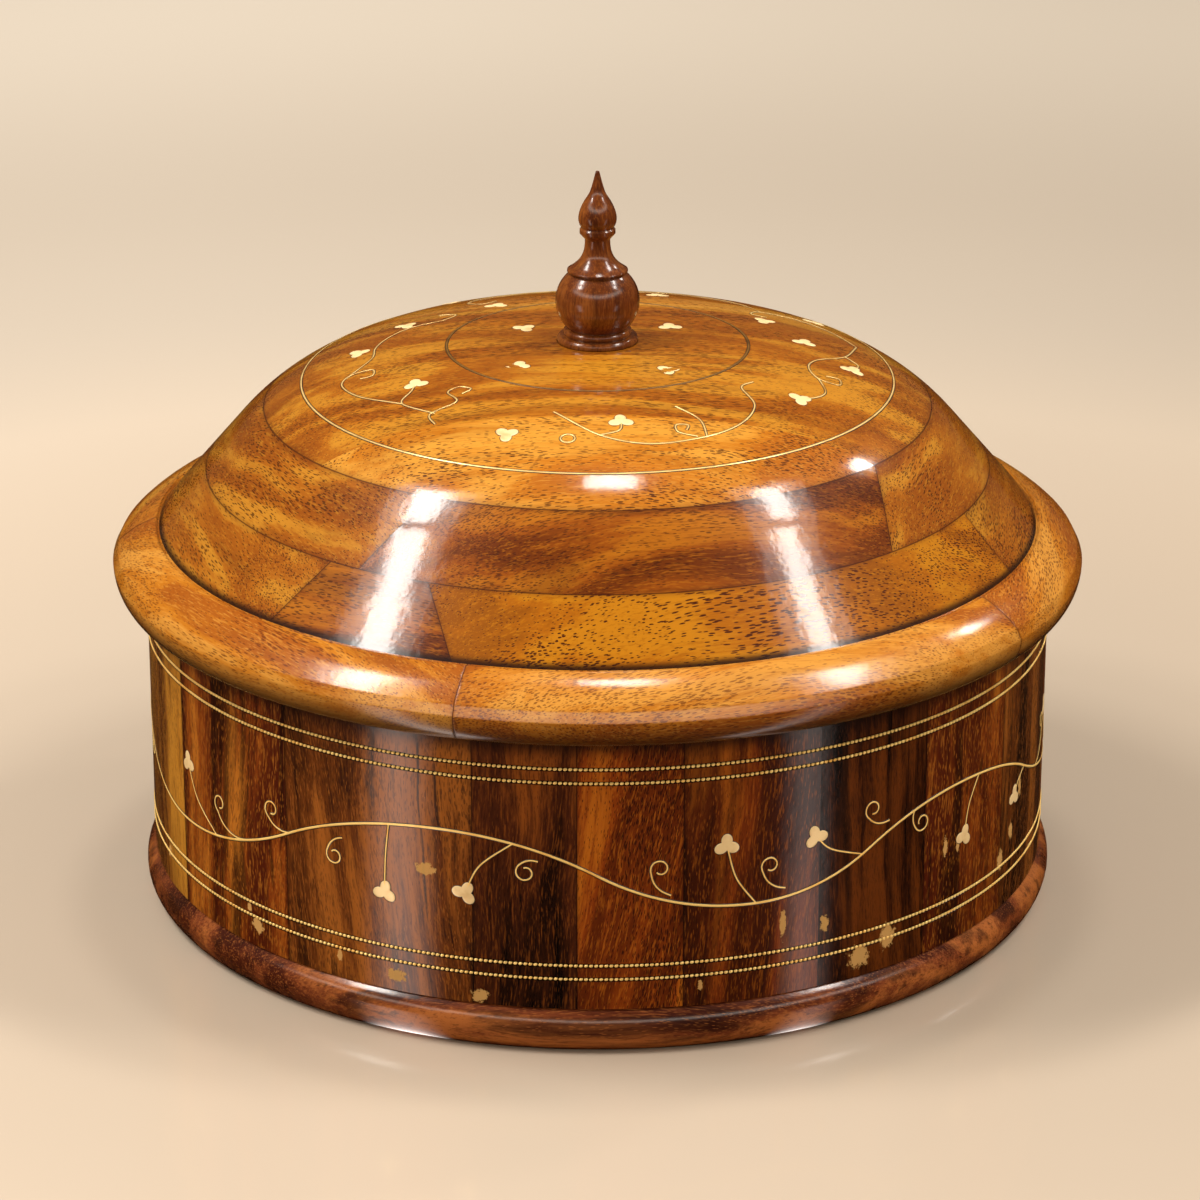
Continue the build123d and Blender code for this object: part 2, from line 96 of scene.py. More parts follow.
# %% [markdown]
# ## The camera
#
# The photograph looks down on the box by about twenty degrees from a metre and a quarter
# away, with a long lens, so that the box shows hardly any perspective. Position, tilt and
# lens were worked out from the rims of the box, whose circles turn into ellipses.

# %% Set the camera
CAMERA_PLACE = (0.0007, -1.2521, 0.5498)
CAMERA_TILT = 20.494
CAMERA_LENS = 137.48
CAMERA_SENSOR = 36.0


def add_object(name, data):
    """A new object in the scene."""
    made = bpy.data.objects.new(name, data)
    bpy.context.scene.collection.objects.link(made)
    return made


camera_data = bpy.data.cameras.new("camera")
camera_data.lens = CAMERA_LENS
camera_data.sensor_width = CAMERA_SENSOR
camera = add_object("camera", camera_data)
camera.location = CAMERA_PLACE
camera.rotation_euler = (radians(90 - CAMERA_TILT), 0, 0)
bpy.context.scene.camera = camera
bpy.context.scene.view_settings.view_transform = "Standard"
print("camera", CAMERA_PLACE, "lens", CAMERA_LENS)

# %% [markdown]
# ## Short words for node trees
#
# Materials and Geometry Nodes are both trees of nodes. A few small helpers keep them readable:
# they add a node and fill or link its inputs, do one step of arithmetic, blend two colours, or
# draw a noise. Colours are written as a painter's hex code and turned into the linear light
# that a shader uses.


# %% Nodes, their inputs and colours
def tint(code):
    """A hex colour as the linear colour of a shader socket."""
    channels = [int(code[place : place + 2], 16) / 255 for place in (1, 3, 5)]
    linear = [value / 12.92 if value <= 0.04045 else ((value + 0.055) / 1.055) ** 2.4 for value in channels]
    return (*linear, 1.0)


def feed(tree, node, inputs):
    """Fill a node's inputs, each with a value or with the output that feeds it."""
    for name, value in inputs.items():
        if isinstance(value, bpy.types.NodeSocket):
            tree.links.new(value, node.inputs[name])
        else:
            node.inputs[name].default_value = value


def add_node(tree, kind, inputs=None, **settings):
    """Add a node with its settings and its inputs."""
    made = tree.nodes.new(kind)
    for name, value in settings.items():
        setattr(made, name, value)
    feed(tree, made, inputs or {})
    return made


def new_material(name):
    """A material, its tree, its Principled shader and the Object coordinates in its tree."""
    material = bpy.data.materials.new(name)
    material.use_nodes = True
    tree = material.node_tree
    position = add_node(tree, "ShaderNodeTexCoord").outputs["Object"]
    return material, tree, tree.nodes["Principled BSDF"], position


print("tint of honey:", [round(value, 3) for value in tint("#c07828")])


# %% Arithmetic and patterns in node trees
def maths(tree, operation, first, second=0.0):
    """One step of arithmetic on two values."""
    return add_node(tree, "ShaderNodeMath", {0: first, 1: second}, operation=operation).outputs[0]


def vector_maths(tree, operation, first, second=(0, 0, 0)):
    """One step of arithmetic on two vectors. A length or a dot product comes out as a value."""
    made = add_node(tree, "ShaderNodeVectorMath", {0: first, 1: second}, operation=operation)
    return made.outputs["Value" if operation in ("LENGTH", "DOT_PRODUCT") else "Vector"]


def ramp(tree, value, low, high, start=0.0, end=1.0):
    """Turn the range from low to high of a value into start to end, smoothly."""
    inputs = {"Value": value, "From Min": low, "From Max": high, "To Min": start, "To Max": end}
    return add_node(tree, "ShaderNodeMapRange", inputs, interpolation_type="SMOOTHSTEP").outputs[0]


def mix_colour(tree, factor, first, second, blend="MIX"):
    """Blend two colours."""
    inputs = {0: factor, 6: first, 7: second}
    return add_node(tree, "ShaderNodeMix", inputs, data_type="RGBA", blend_type=blend).outputs[2]


def stretched(tree, vector, repeats):
    """Coordinates in which a pattern repeats so many times in a metre, along X and across it."""
    along, across = repeats
    return vector_maths(tree, "MULTIPLY", vector, (along, across, across))


def noise(tree, vector, repeats, detail=2.0, roughness=0.5):
    """Noise of the size that its repeats give it."""
    inputs = {
        "Vector": stretched(tree, vector, repeats),
        "Scale": 1.0,
        "Detail": detail,
        "Roughness": roughness,
    }
    return add_node(tree, "ShaderNodeTexNoise", inputs).outputs[0]


def cells(tree, vector, repeats, fineness=1.0):
    """How far a point lies from the middle of its cell, in a pattern of long thin cells."""
    inputs = {"Vector": stretched(tree, vector, repeats), "Scale": fineness}
    return add_node(tree, "ShaderNodeTexVoronoi", inputs).outputs["Distance"]


print("helpers: maths, vector_maths, ramp, mix_colour, stretched, noise and cells")

# %% [markdown]
# ## The wood's figure
#
# Sheesham shows several layers of pattern. Years of growth give wide wavy bands and clouds, and
# stripes that are near black in places. Fibres give fine streaks. Small pale flecks catch the
# light, and open pores give short dark dashes, which the lacquer fills but doesn't hide. All of
# it runs along the grain, so one group draws it in coordinates whose X lies along the grain,
# and every board brings its own direction and its own colours.
#
# Bands like the lines on a map come from taking the sine of a slow noise: where the noise is
# flat they are wide, and where it is steep they crowd together, as on a sawn board.

# %% How fine and how strong each layer is
# How often a layer repeats in a metre, along the grain and across it
WAVER = (14, 26)
BAND = (3.2, 22)
CLOUD = (9, 34)
STREAK = (12, 210)
FIBRE = (150, 1700)
STRIPE = (4.5, 95)
HAIRLINE = (7, 420)
FLECK = (320, 1900)
PORE = (400, 2400)
CROWD = (20, 60)
# How far the fibres waver, and how much bands, clouds and streaks add to the tone
WAVER_DEPTH = 0.012
BAND_SHARE = 0.28
CLOUD_SHARE = 0.46
STREAK_SHARE = 0.62
# Ramps: the low and the high end of a pattern, and where given, the strengths at the two ends
MIDDLE_TONES = (0.52, 0.7)
LIGHT_TONES = (0.7, 0.86)
PALE_FIBRES = (0.52, 0.68, 0.0, 0.5)
DARK_FIBRES = (0.48, 0.34, 0.0, 0.45)
STRIPE_EDGE = (0.54, 0.64)
HAIRLINE_EDGE = (0.6, 0.72)
FLECK_EDGE = (0.34, 0.12)
PORE_SIZES = (0.3, 0.65, 0.24, 0.44)
PORE_EDGE = (0.0, 0.1)
STRIPE_BLACKNESS = 0.9
FIBRE_RELIEF = 0.3
print("fibres in a metre:", FIBRE[1], "and pores:", PORE[1])


# %% The layers of the figure
def wavering(tree, grain):
    """The grain's coordinates pushed aside a little, because no fibre runs dead straight."""
    inputs = {"Vector": stretched(tree, grain, WAVER), "Scale": 1.0, "Detail": 2.0}
    push = add_node(tree, "ShaderNodeTexNoise", inputs).outputs["Color"]
    inputs = {0: push, 1: (0.0, WAVER_DEPTH, WAVER_DEPTH), 2: grain}
    return add_node(tree, "ShaderNodeVectorMath", inputs, operation="MULTIPLY_ADD").outputs[0]


def tone_of(tree, swing, crowding):
    """How pale the wood is: bands, clouds and streaks added up."""
    slow = noise(tree, swing, BAND)
    bands = ramp(tree, maths(tree, "SINE", maths(tree, "MULTIPLY", slow, crowding)), -1.0, 1.0)
    tone = maths(tree, "MULTIPLY", bands, BAND_SHARE)
    cloud = noise(tree, swing, CLOUD)
    tone = maths(tree, "ADD", tone, maths(tree, "MULTIPLY", cloud, CLOUD_SHARE))
    streak = noise(tree, swing, STREAK, 4.0, 0.65)
    return maths(tree, "ADD", tone, maths(tree, "MULTIPLY", streak, STREAK_SHARE))


def black_stripes(tree, swing, amount):
    """Near-black stripes along the grain, broad ones and hairlines."""
    broad = ramp(tree, noise(tree, swing, STRIPE, 3.0, 0.55), *STRIPE_EDGE)
    thin = ramp(tree, noise(tree, swing, HAIRLINE), *HAIRLINE_EDGE)
    broad = maths(tree, "MULTIPLY", broad, amount)
    thin = maths(tree, "MULTIPLY", thin, amount)
    return maths(tree, "MULTIPLY", maths(tree, "MAXIMUM", broad, thin), STRIPE_BLACKNESS)


def open_pores(tree, swing, fineness, amount):
    """Short dashes, which are larger where the pores crowd together."""
    size = ramp(tree, noise(tree, swing, CROWD, 1.0), *PORE_SIZES)
    inside = maths(tree, "SUBTRACT", size, cells(tree, swing, PORE, fineness))
    return maths(tree, "MULTIPLY", ramp(tree, inside, *PORE_EDGE), amount)


print("layers: the wavering grain, its tone, black stripes and open pores")

# %% The group that draws the figure
FIGURE_INPUTS = (
    ("Grain", "NodeSocketVector"),
    ("Bands", "NodeSocketFloat"),
    ("Streaks", "NodeSocketFloat"),
    ("Pores", "NodeSocketFloat"),
    ("Flecks", "NodeSocketFloat"),
    ("Fineness", "NodeSocketFloat"),
    ("Dark", "NodeSocketColor"),
    ("Middle", "NodeSocketColor"),
    ("Light", "NodeSocketColor"),
    ("Black", "NodeSocketColor"),
)


def make_wood_figure():
    """The group that every wooden piece uses."""
    tree = bpy.data.node_groups.new("wood_figure", "ShaderNodeTree")
    for name, kind in FIGURE_INPUTS:
        tree.interface.new_socket(name=name, in_out="INPUT", socket_type=kind)
    tree.interface.new_socket(name="Colour", in_out="OUTPUT", socket_type="NodeSocketColor")
    tree.interface.new_socket(name="Height", in_out="OUTPUT", socket_type="NodeSocketFloat")
    given = tree.nodes.new("NodeGroupInput").outputs
    swing = wavering(tree, given["Grain"])
    tone = tone_of(tree, swing, given["Bands"])
    colour = mix_colour(tree, ramp(tree, tone, *MIDDLE_TONES), given["Dark"], given["Middle"])
    colour = mix_colour(tree, ramp(tree, tone, *LIGHT_TONES), colour, given["Light"])
    fibre = noise(tree, swing, FIBRE, 2.0, 0.6)
    colour = mix_colour(tree, ramp(tree, fibre, *PALE_FIBRES), colour, given["Light"])
    colour = mix_colour(tree, ramp(tree, fibre, *DARK_FIBRES), colour, given["Dark"])
    colour = mix_colour(tree, black_stripes(tree, swing, given["Streaks"]), colour, given["Black"])
    fleck = maths(tree, "MULTIPLY", ramp(tree, cells(tree, swing, FLECK), *FLECK_EDGE), given["Flecks"])
    colour = mix_colour(tree, fleck, colour, given["Light"])
    pore = open_pores(tree, swing, given["Fineness"], given["Pores"])
    colour = mix_colour(tree, pore, colour, given["Black"])
    height = maths(tree, "SUBTRACT", maths(tree, "MULTIPLY", fibre, FIBRE_RELIEF), pore)
    add_node(tree, "NodeGroupOutput", {"Colour": colour, "Height": height})
    return tree


wood_figure = make_wood_figure()
print("figure group with", len(wood_figure.nodes), "nodes")

# %% [markdown]
# ## Glue lines
#
# The boards of one ring meet in flat glued joints. Under the lacquer each joint is a fine dark
# line, with a little more stain where the glue was squeezed out. The lines must lie exactly on
# the joints, so they are read from the frame: on every board the two largest flat upright faces
# are its joints. A material then darkens what lies close to those two planes.


# %% Find a board's joints
# A face counts as upright where its normal rises or falls by less than this
UPRIGHT = 0.01


def joint_planes(name):
    """The planes of a piece's two largest upright flat faces, as normal and distance."""
    areas = {}
    for face in nodes[name].data.polygons:
        if abs(face.normal.z) > UPRIGHT:
            continue
        normal = face.normal
        distance = normal.dot(face.center)
        key = (round(normal.x, 2), round(normal.y, 2), round(distance / MM))
        area, held = areas.get(key, (0.0, None))
        areas[key] = (area + face.area, held or (normal.copy(), distance))
    largest = sorted(areas.values(), key=lambda entry: -entry[0])[:2]
    return [plane for area, plane in largest]


print("joints of stave_04:", joint_planes("stave_04"))


# %% Shade the glue lines
# How far from a joint the glue line is black, where it ends, and where the stain ends
GLUE_LINE = (0.064 * MM, 0.256 * MM)
GLUE_STAIN = 1.4 * MM
LINE_STRENGTH = 0.85
STAIN_STRENGTH = 0.3


def nearest_plane(tree, position, planes):
    """The distance from a point to the nearest of some planes."""
    nearest = None
    for normal, distance in planes:
        along = vector_maths(tree, "DOT_PRODUCT", position, tuple(normal))
        away = maths(tree, "ABSOLUTE", maths(tree, "SUBTRACT", along, distance))
        nearest = away if nearest is None else maths(tree, "MINIMUM", nearest, away)
    return nearest


def glued(tree, position, colour, planes, black):
    """A board's colour, darkened along its glued joints."""
    away = nearest_plane(tree, position, planes)
    stain = ramp(tree, away, 0.0, GLUE_STAIN, STAIN_STRENGTH, 0.0)
    line = ramp(tree, away, *GLUE_LINE, LINE_STRENGTH, 0.0)
    return mix_colour(tree, maths(tree, "MAXIMUM", stain, line), colour, black)


print("a glue line reaches", GLUE_LINE[1], "and its stain", GLUE_STAIN)

# %% [markdown]
# ## One material for each board
#
# No two boards of the box are alike, because each comes from another plank. So each piece gets
# its own material from one recipe: the direction of its grain, a place in the pattern, and the
# four colours of its plank. The pattern reads Object coordinates, and a Mapping node turns them
# so that X lies along the grain.
#
# The finish is a coat: the wood itself is fairly dull, and the Principled shader's coat adds the
# hard clear gloss. The coat gets a faint ripple of its own, because hand-rubbed lacquer is never
# quite flat. Its roughness is set on the shader's own socket, and its weight too, save where a
# piece has worn places: there the coat is gone, and the pale bare wood shows in ragged patches.

# %% Worn places and grooves
WORN_WOOD = tint("#c99c5c")
WEAR_REPEATS = (620, 620)
WEAR_RAGGEDNESS = 2.6
WEAR_EDGE = (2.4, 2.1)
WEAR_STRENGTH = 0.8
# The dark line beside a twisted wire: how far it is black, where it ends, and its strength
GROOVE_LINE = (0.5 * MM, 0.8 * MM)
GROOVE_STRENGTH = 0.92
# How deep below the wall's surface the line is gone, and where it is whole
GROOVE_DEPTHS = (2 * MM, 1 * MM)


def worn_places(tree, position, places):
    """How worn the lacquer is: ragged patches, each with its centre and its half sizes."""
    ragged = maths(tree, "MULTIPLY", noise(tree, position, WEAR_REPEATS, 4.0, 0.75), WEAR_RAGGEDNESS)
    most = None
    for centre, across, up in places:
        away = vector_maths(tree, "SUBTRACT", position, tuple(centre))
        away = vector_maths(tree, "MULTIPLY", away, (1 / across, 1 / across, 1 / up))
        away = maths(tree, "ADD", vector_maths(tree, "LENGTH", away), ragged)
        worn = ramp(tree, away, *WEAR_EDGE)
        most = worn if most is None else maths(tree, "MAXIMUM", most, worn)
    return most


def grooved(tree, position, colour, grooves, black):
    """A stave's colour, darkened on its outside along the grooves of the twisted wires."""
    away = nearest_plane(tree, position, grooves)
    radius = vector_maths(tree, "LENGTH", vector_maths(tree, "MULTIPLY", position, (1, 1, 0)))
    outside = ramp(tree, radius, *(wall_radius - depth for depth in GROOVE_DEPTHS))
    line = ramp(tree, away, *GROOVE_LINE, GROOVE_STRENGTH, 0.0)
    return mix_colour(tree, maths(tree, "MULTIPLY", line, outside), colour, black)


print("worn wood:", [round(value, 3) for value in WORN_WOOD], "and a groove's line reaches", GROOVE_LINE[1])

# %% The lacquer
COAT_ROUGHNESS = 0.11
COAT_IOR = 1.38
COAT_RIPPLE = (120, 120)
COAT_RELIEF = {"Strength": 0.16, "Distance": 0.5 * MM}
WOOD_ROUGHNESS = 0.42
WOOD_SPECULAR = 0.06
WOOD_RELIEF = {"Strength": 0.25, "Distance": 0.12 * MM}
# The samples of a Bevel node, which softens the edges that the turner rubbed round
EDGE_SAMPLES = 6


def lacquer(tree, shader, position, relief, coat_roughness, edge):
    """The wood's relief and, over it, the coat with its ripple."""
    bump = add_node(tree, "ShaderNodeBump", {"Height": relief, **WOOD_RELIEF})
    ripple = noise(tree, position, COAT_RIPPLE, 3.0, 0.6)
    coat = add_node(tree, "ShaderNodeBump", {"Height": ripple, **COAT_RELIEF})
    if edge:
        rubbed = add_node(tree, "ShaderNodeBevel", {"Radius": edge}, samples=EDGE_SAMPLES).outputs[0]
        feed(tree, bump, {"Normal": rubbed})
        feed(tree, coat, {"Normal": rubbed})
    feed(tree, shader, {"Normal": bump.outputs[0], "Coat Normal": coat.outputs[0]})
    feed(tree, shader, {"Roughness": WOOD_ROUGHNESS, "Specular IOR Level": WOOD_SPECULAR})
    feed(tree, shader, {"Coat Roughness": coat_roughness, "Coat IOR": COAT_IOR})


print("coat roughness", COAT_ROUGHNESS)

# %% The lacquered wood
# The colour of painted shade, which darkens a piece where another piece shades it
PAINTED_SHADE = tint("#1a0902")
# How far apart two pieces with neighbouring places lie in the pattern
PATTERN_STEP = (0.31, 0.17, 0.23)


def grain_turn(along, facing):
    """The turn that brings the grain to X and the board's face to Z."""
    first = Vector(along).normalized()
    third = (Vector(facing) - first * first.dot(Vector(facing))).normalized()
    second = third.cross(first)
    return Matrix((first, second, third)).to_euler()


def wood(
    name,
    along,
    facing,
    place,
    look,
    planes=(),
    grooves=(),
    coat_roughness=COAT_ROUGHNESS,
    edge=0,
    worn=(),
    grime=(),
):
    """A lacquered wood for one board, whose place says where in the pattern it lies.

    Planes are its glue lines, grooves those of twisted wires, edge is the radius that its
    sharp edges are rubbed to, worn is where the lacquer has gone, and the last gives painted
    shade: the height where it begins, the height where it is full, and how much it darkens.
    """
    material, tree, shader, position = new_material(name)
    turn = tuple(grain_turn(along, facing))
    shift = tuple(step * place for step in PATTERN_STEP)
    inputs = {"Vector": position, "Rotation": turn, "Location": shift}
    grain = add_node(tree, "ShaderNodeMapping", inputs).outputs[0]
    figure = add_node(tree, "ShaderNodeGroup", {"Grain": grain, **look}, node_tree=wood_figure)
    colour = figure.outputs["Colour"]
    shader.inputs["Coat Weight"].default_value = 1.0
    if planes:
        colour = glued(tree, position, colour, planes, look["Black"])
    if grooves:
        colour = grooved(tree, position, colour, grooves, look["Black"])
    if worn:
        gone = worn_places(tree, position, worn)
        colour = mix_colour(tree, maths(tree, "MULTIPLY", gone, WEAR_STRENGTH), colour, WORN_WOOD)
        feed(tree, shader, {"Coat Weight": maths(tree, "SUBTRACT", 1.0, gone)})
    # Painted shade: between two heights the colour darkens towards the shade colour
    if grime:
        height = add_node(tree, "ShaderNodeSeparateXYZ", {0: position}).outputs["Z"]
        begins, full, amount = grime
        colour = mix_colour(tree, ramp(tree, height, begins, full, 0.0, amount), colour, PAINTED_SHADE)
    feed(tree, shader, {"Base Color": colour})
    lacquer(tree, shader, position, figure.outputs["Height"], coat_roughness, edge)
    return material


print("grime:", [round(value, 4) for value in PAINTED_SHADE])

# %% The colours of a plank
LACQUER_DEPTH = 0.73


def deepened(code):
    """The colour of a bare plank as the lacquer deepens it."""
    red, green, blue, alpha = tint(code)
    return (red * LACQUER_DEPTH, green * LACQUER_DEPTH, blue * LACQUER_DEPTH, alpha)


def look_of(dark, middle, light, black, bands, streaks, pores, flecks, fineness=1.0):
    """The inputs of the figure group for one plank."""
    return {
        "Dark": deepened(dark),
        "Middle": deepened(middle),
        "Light": deepened(light),
        "Black": deepened(black),
        "Bands": bands,
        "Streaks": streaks,
        "Pores": pores,
        "Flecks": flecks,
        "Fineness": fineness,
    }


def dress(name, material):
    """Give a CAD piece its material."""
    mesh = nodes[name].data
    mesh.materials.clear()
    mesh.materials.append(material)


print("the lacquer's depth", LACQUER_DEPTH)

# %% [markdown]
# ## The staves of the bowl
#
# The grain of a stave stands upright, leaning a few degrees either way. Seen from the front,
# a pale stave stands at the far left, then a red-brown one, two dark ones with near-black
# stripes, an orange one in the middle, and darker ones again to the right. The planks repeat
# round the back in the same spirit.

# %% The planks of the wall
STAVE_LOOKS = {
    "amber": look_of("#6a3408", "#a5621a", "#d8922e", "#2a1204", 22, 0.3, 0.5, 0.4),
    "chestnut": look_of("#561c04", "#94440a", "#cc7a22", "#140602", 22, 0.8, 0.5, 0.6),
    "brown": look_of("#2c1203", "#6e360c", "#ac6220", "#0e0401", 18, 0.9, 0.5, 0.65),
    "striped": look_of("#240c02", "#54240a", "#9a5014", "#080301", 14, 1.0, 0.4, 0.3),
    "orange": look_of("#6a2802", "#9a4206", "#cc7014", "#200a02", 30, 0.15, 0.8, 0.45),
    "umber": look_of("#461802", "#7c3206", "#b05c10", "#140602", 24, 0.5, 0.45, 0.5),
    "dark": look_of("#160601", "#321202", "#6e3408", "#060200", 17, 0.9, 0.4, 0.35),
}
# Each stave: its plank and how many degrees its grain leans
STAVE_PLANKS = (
    ("chestnut", 2), ("brown", -4), ("striped", 0), ("orange", 9), ("umber", 4), ("dark", -3),
    ("chestnut", 2), ("brown", 5), ("orange", -3), ("striped", 2), ("umber", -5), ("chestnut", 4),
    ("brown", 0), ("amber", -3), ("umber", 6), ("striped", -2), ("orange", 3), ("brown", -6),
    ("chestnut", 2), ("amber", -4),
)
# Where hands and the table have worn the wall: angle, height and half sizes in millimetres
WALL_WEAR = (
    (-20.8, 50.4, 2.6, 1.8), (-46.3, 19.1, 2.3, 2.2), (-47.8, 23.5, 0.9, 1.4), (-32.7, 19.0, 0.9, 1.6),
    (-24.9, 17.0, 3.0, 1.9), (-14.1, 14.9, 2.5, 2.0), (12.3, 18.3, 0.7, 1.6), (22.6, 33.0, 0.9, 4.0),
    (28.2, 31.0, 1.5, 2.2), (33.2, 18.3, 3.4, 3.2), (37.6, 21.8, 2.4, 3.6), (47.5, 42.0, 0.9, 3.0),
    (50.0, 41.0, 0.8, 2.4), (60.6, 27.3, 1.6, 2.8), (63.7, 33.8, 1.4, 2.6), (66.5, 45.0, 1.2, 3.2),
    (-70.0, 21.8, 1.4, 2.2), (108.0, 20.0, 2.4, 2.2), (149.0, 16.5, 2.8, 1.8), (187.0, 19.0, 1.8, 2.6),
    (231.0, 17.0, 2.6, 2.0),
)

print("staves:", len(STAVE_PLANKS), "worn places:", len(WALL_WEAR))

# %% Directions round the axis
LEVEL = Vector((0, 0, 1))
# How far beside a stave a worn place may lie and still reach it
WEAR_MARGIN = radians(3)


def middle_angle(name):
    """The direction of a piece's middle, as an angle from the front towards +X."""
    places = [vertex.co for vertex in nodes[name].data.vertices]
    centre = sum(places, Vector()) / len(places)
    return atan2(centre.x, -centre.y)


def outward(angle):
    """The level direction from the axis towards an angle."""
    return Vector((sin(angle), -cos(angle), 0))


def wear_near(name):
    """The worn places of the wall that touch one stave."""
    low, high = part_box(name)
    reach = WEAR_MARGIN + (high - low).xy.length / wall_radius / 2
    worn = []
    for angle, height, across, up in WALL_WEAR:
        apart = (radians(angle) - middle_angle(name) + pi) % (2 * pi) - pi
        if abs(apart) < reach:
            worn.append((outward(radians(angle)) * wall_radius + LEVEL * height * MM, across * MM, up * MM))
    return worn


def middle_height(name):
    """The height of a piece's middle."""
    low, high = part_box(name)
    return (low.z + high.z) / 2


print("the middle of stave_04 lies at", round(middle_angle("stave_04"), 3))

# %% Dress the staves
HOOP_LEVELS = [middle_height(f"wall_wire_{number}") for number in range(1, 5)]
# Painted shade under the lid's rim: where it begins, where it is full, and how much it darkens
WALL_PAINTED_SHADE = (wall_top - 7 * MM, wall_top - 1 * MM, 0.85)

hoop_planes = [(LEVEL, height) for height in HOOP_LEVELS]
for number, (plank, lean) in enumerate(STAVE_PLANKS, 1):
    name = f"stave_{number:02d}"
    facing = outward(middle_angle(name))
    along = LEVEL + outward(middle_angle(name) + pi / 2) * sin(radians(lean))
    marks = {"grooves": hoop_planes, "worn": wear_near(name), "grime": WALL_PAINTED_SHADE}
    dress(name, wood(name, along, facing, number, STAVE_LOOKS[plank], joint_planes(name), **marks))
print("twisted wires at", [round(height, 4) for height in HOOP_LEVELS])

# %% [markdown]
# ## The lid's rings and boards
#
# The rim, the two bands and the crown are golden where the sapwood is, with dark dashes all
# along. In each ring a board was sawn to its curve, so its grain runs straight along its chord
# and not round the circle. The crown's boards lie side by side with their grain along X.

# %% The lid's planks
LID_LOOKS = {
    "rim": look_of("#a8580c", "#c87814", "#de983a", "#622806", 24, 0.15, 0.7, 0.35, 0.8),
    "honey": look_of("#b2620e", "#c67614", "#dc9834", "#562606", 40, 0.15, 0.95, 0.3, 0.8),
    "gold": look_of("#9a5404", "#b46606", "#ca8010", "#522004", 30, 0.05, 1.0, 0.3, 0.75),
    "toffee": look_of("#6e3004", "#984c08", "#b86c12", "#3a1404", 36, 0.35, 0.7, 0.35, 0.85),
    "caramel": look_of("#9a500a", "#b06410", "#cc8824", "#4a1e04", 42, 0.25, 0.8, 0.35, 0.8),
}
# Painted shade: the rim darkens downwards under its nose, and the lower band where it meets the top of the
# rim
RIM_PAINTED_SHADE = (wall_top + 11 * MM, wall_top + 1 * MM, 0.85)
# The rim's coat, its rubbed edge and its painted shade
RIM_FINISH_AND_SHADE = {"coat_roughness": 0.15, "edge": 0.8 * MM, "grime": RIM_PAINTED_SHADE}
BAND_PAINTED_SHADE = (rim_top + 2.2 * MM, rim_top + 0.3 * MM, 0.9)
RIM_PLANKS = ("rim", "rim", "rim", "honey", "rim")
LOWER_BAND_PLANKS = ("gold", "caramel", "toffee", "gold", "caramel", "toffee")
UPPER_BAND_PLANKS = ("toffee", "caramel", "honey", "toffee", "caramel")
CROWN_PLANKS = ("honey", "caramel", "caramel", "honey")
print("lid boards:", len(RIM_PLANKS) + len(LOWER_BAND_PLANKS) + len(UPPER_BAND_PLANKS) + len(CROWN_PLANKS))

# %% Rim, bands and crown
# Where the planks of each ring begin in the pattern
RIM_PLACE = 30
LOWER_BAND_PLACE = 40
UPPER_BAND_PLACE = 50
CROWN_PLACE = 60


def dress_ring(stem, planks, levels, first_place, **finish):
    """Give the boards of one ring their materials, with the grain along each chord."""
    for number, plank in enumerate(planks, 1):
        name = f"{stem}_{number}"
        along = outward(middle_angle(name) + pi / 2)
        planes = joint_planes(name) + levels
        dress(name, wood(name, along, LEVEL, first_place + number, LID_LOOKS[plank], planes, **finish))


ring_levels = [(LEVEL, rim_top), (LEVEL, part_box("upper_band_1")[0].z), (LEVEL, crown_foot)]
dress_ring("rim_segment", RIM_PLANKS, [], RIM_PLACE, **RIM_FINISH_AND_SHADE)
dress_ring("lower_band", LOWER_BAND_PLANKS, ring_levels, LOWER_BAND_PLACE, grime=BAND_PAINTED_SHADE)
dress_ring("upper_band", UPPER_BAND_PLANKS, ring_levels, UPPER_BAND_PLACE)
for number, plank in enumerate(CROWN_PLANKS, 1):
    name = f"crown_board_{number}"
    dress(name, wood(name, (1, 0, 0), LEVEL, CROWN_PLACE + number, LID_LOOKS[plank], [(LEVEL, crown_foot)]))
print("glue lines at", [round(height, 4) for level, height in ring_levels])

# %% [markdown]
# ## Foot, finial and bottom
#
# The foot ring and the finial are turned from the dark heart of the wood and stained darker
# still. The finial's grain stands upright. The bottom boards, seen only inside the bowl and
# from below, are plain brown.

# %% Dark pieces
HEART = look_of("#4c1c0a", "#84401e", "#bc6c32", "#200a04", 26, 0.7, 0.2, 0.5)
FINIAL_LOOK = look_of("#4a1e08", "#743810", "#9c5820", "#220c04", 14, 0.4, 0.2, 0.3)
BOTTOM_LOOK = look_of("#5a3214", "#80501f", "#a5712f", "#2c160a", 16, 0.3, 0.6, 0.2)
TURNED_FINISH = {"coat_roughness": 0.14, "edge": 0.5 * MM}
FOOT_PLACE = 71
FINIAL_PLACE = 72
BOTTOM_PLACE = 73

dress("foot_ring", wood("foot_ring", (1, 0, 0), LEVEL, FOOT_PLACE, HEART, **TURNED_FINISH))
dress("finial", wood("finial", LEVEL, (0, -1, 0), FINIAL_PLACE, FINIAL_LOOK, **TURNED_FINISH))
for number in range(1, 4):
    name = f"bottom_board_{number}"
    dress(name, wood(name, (1, 0, 0), LEVEL, BOTTOM_PLACE + number, BOTTOM_LOOK, joint_planes(name)))
print("turned pieces: foot_ring and finial. Bottom boards:", number)
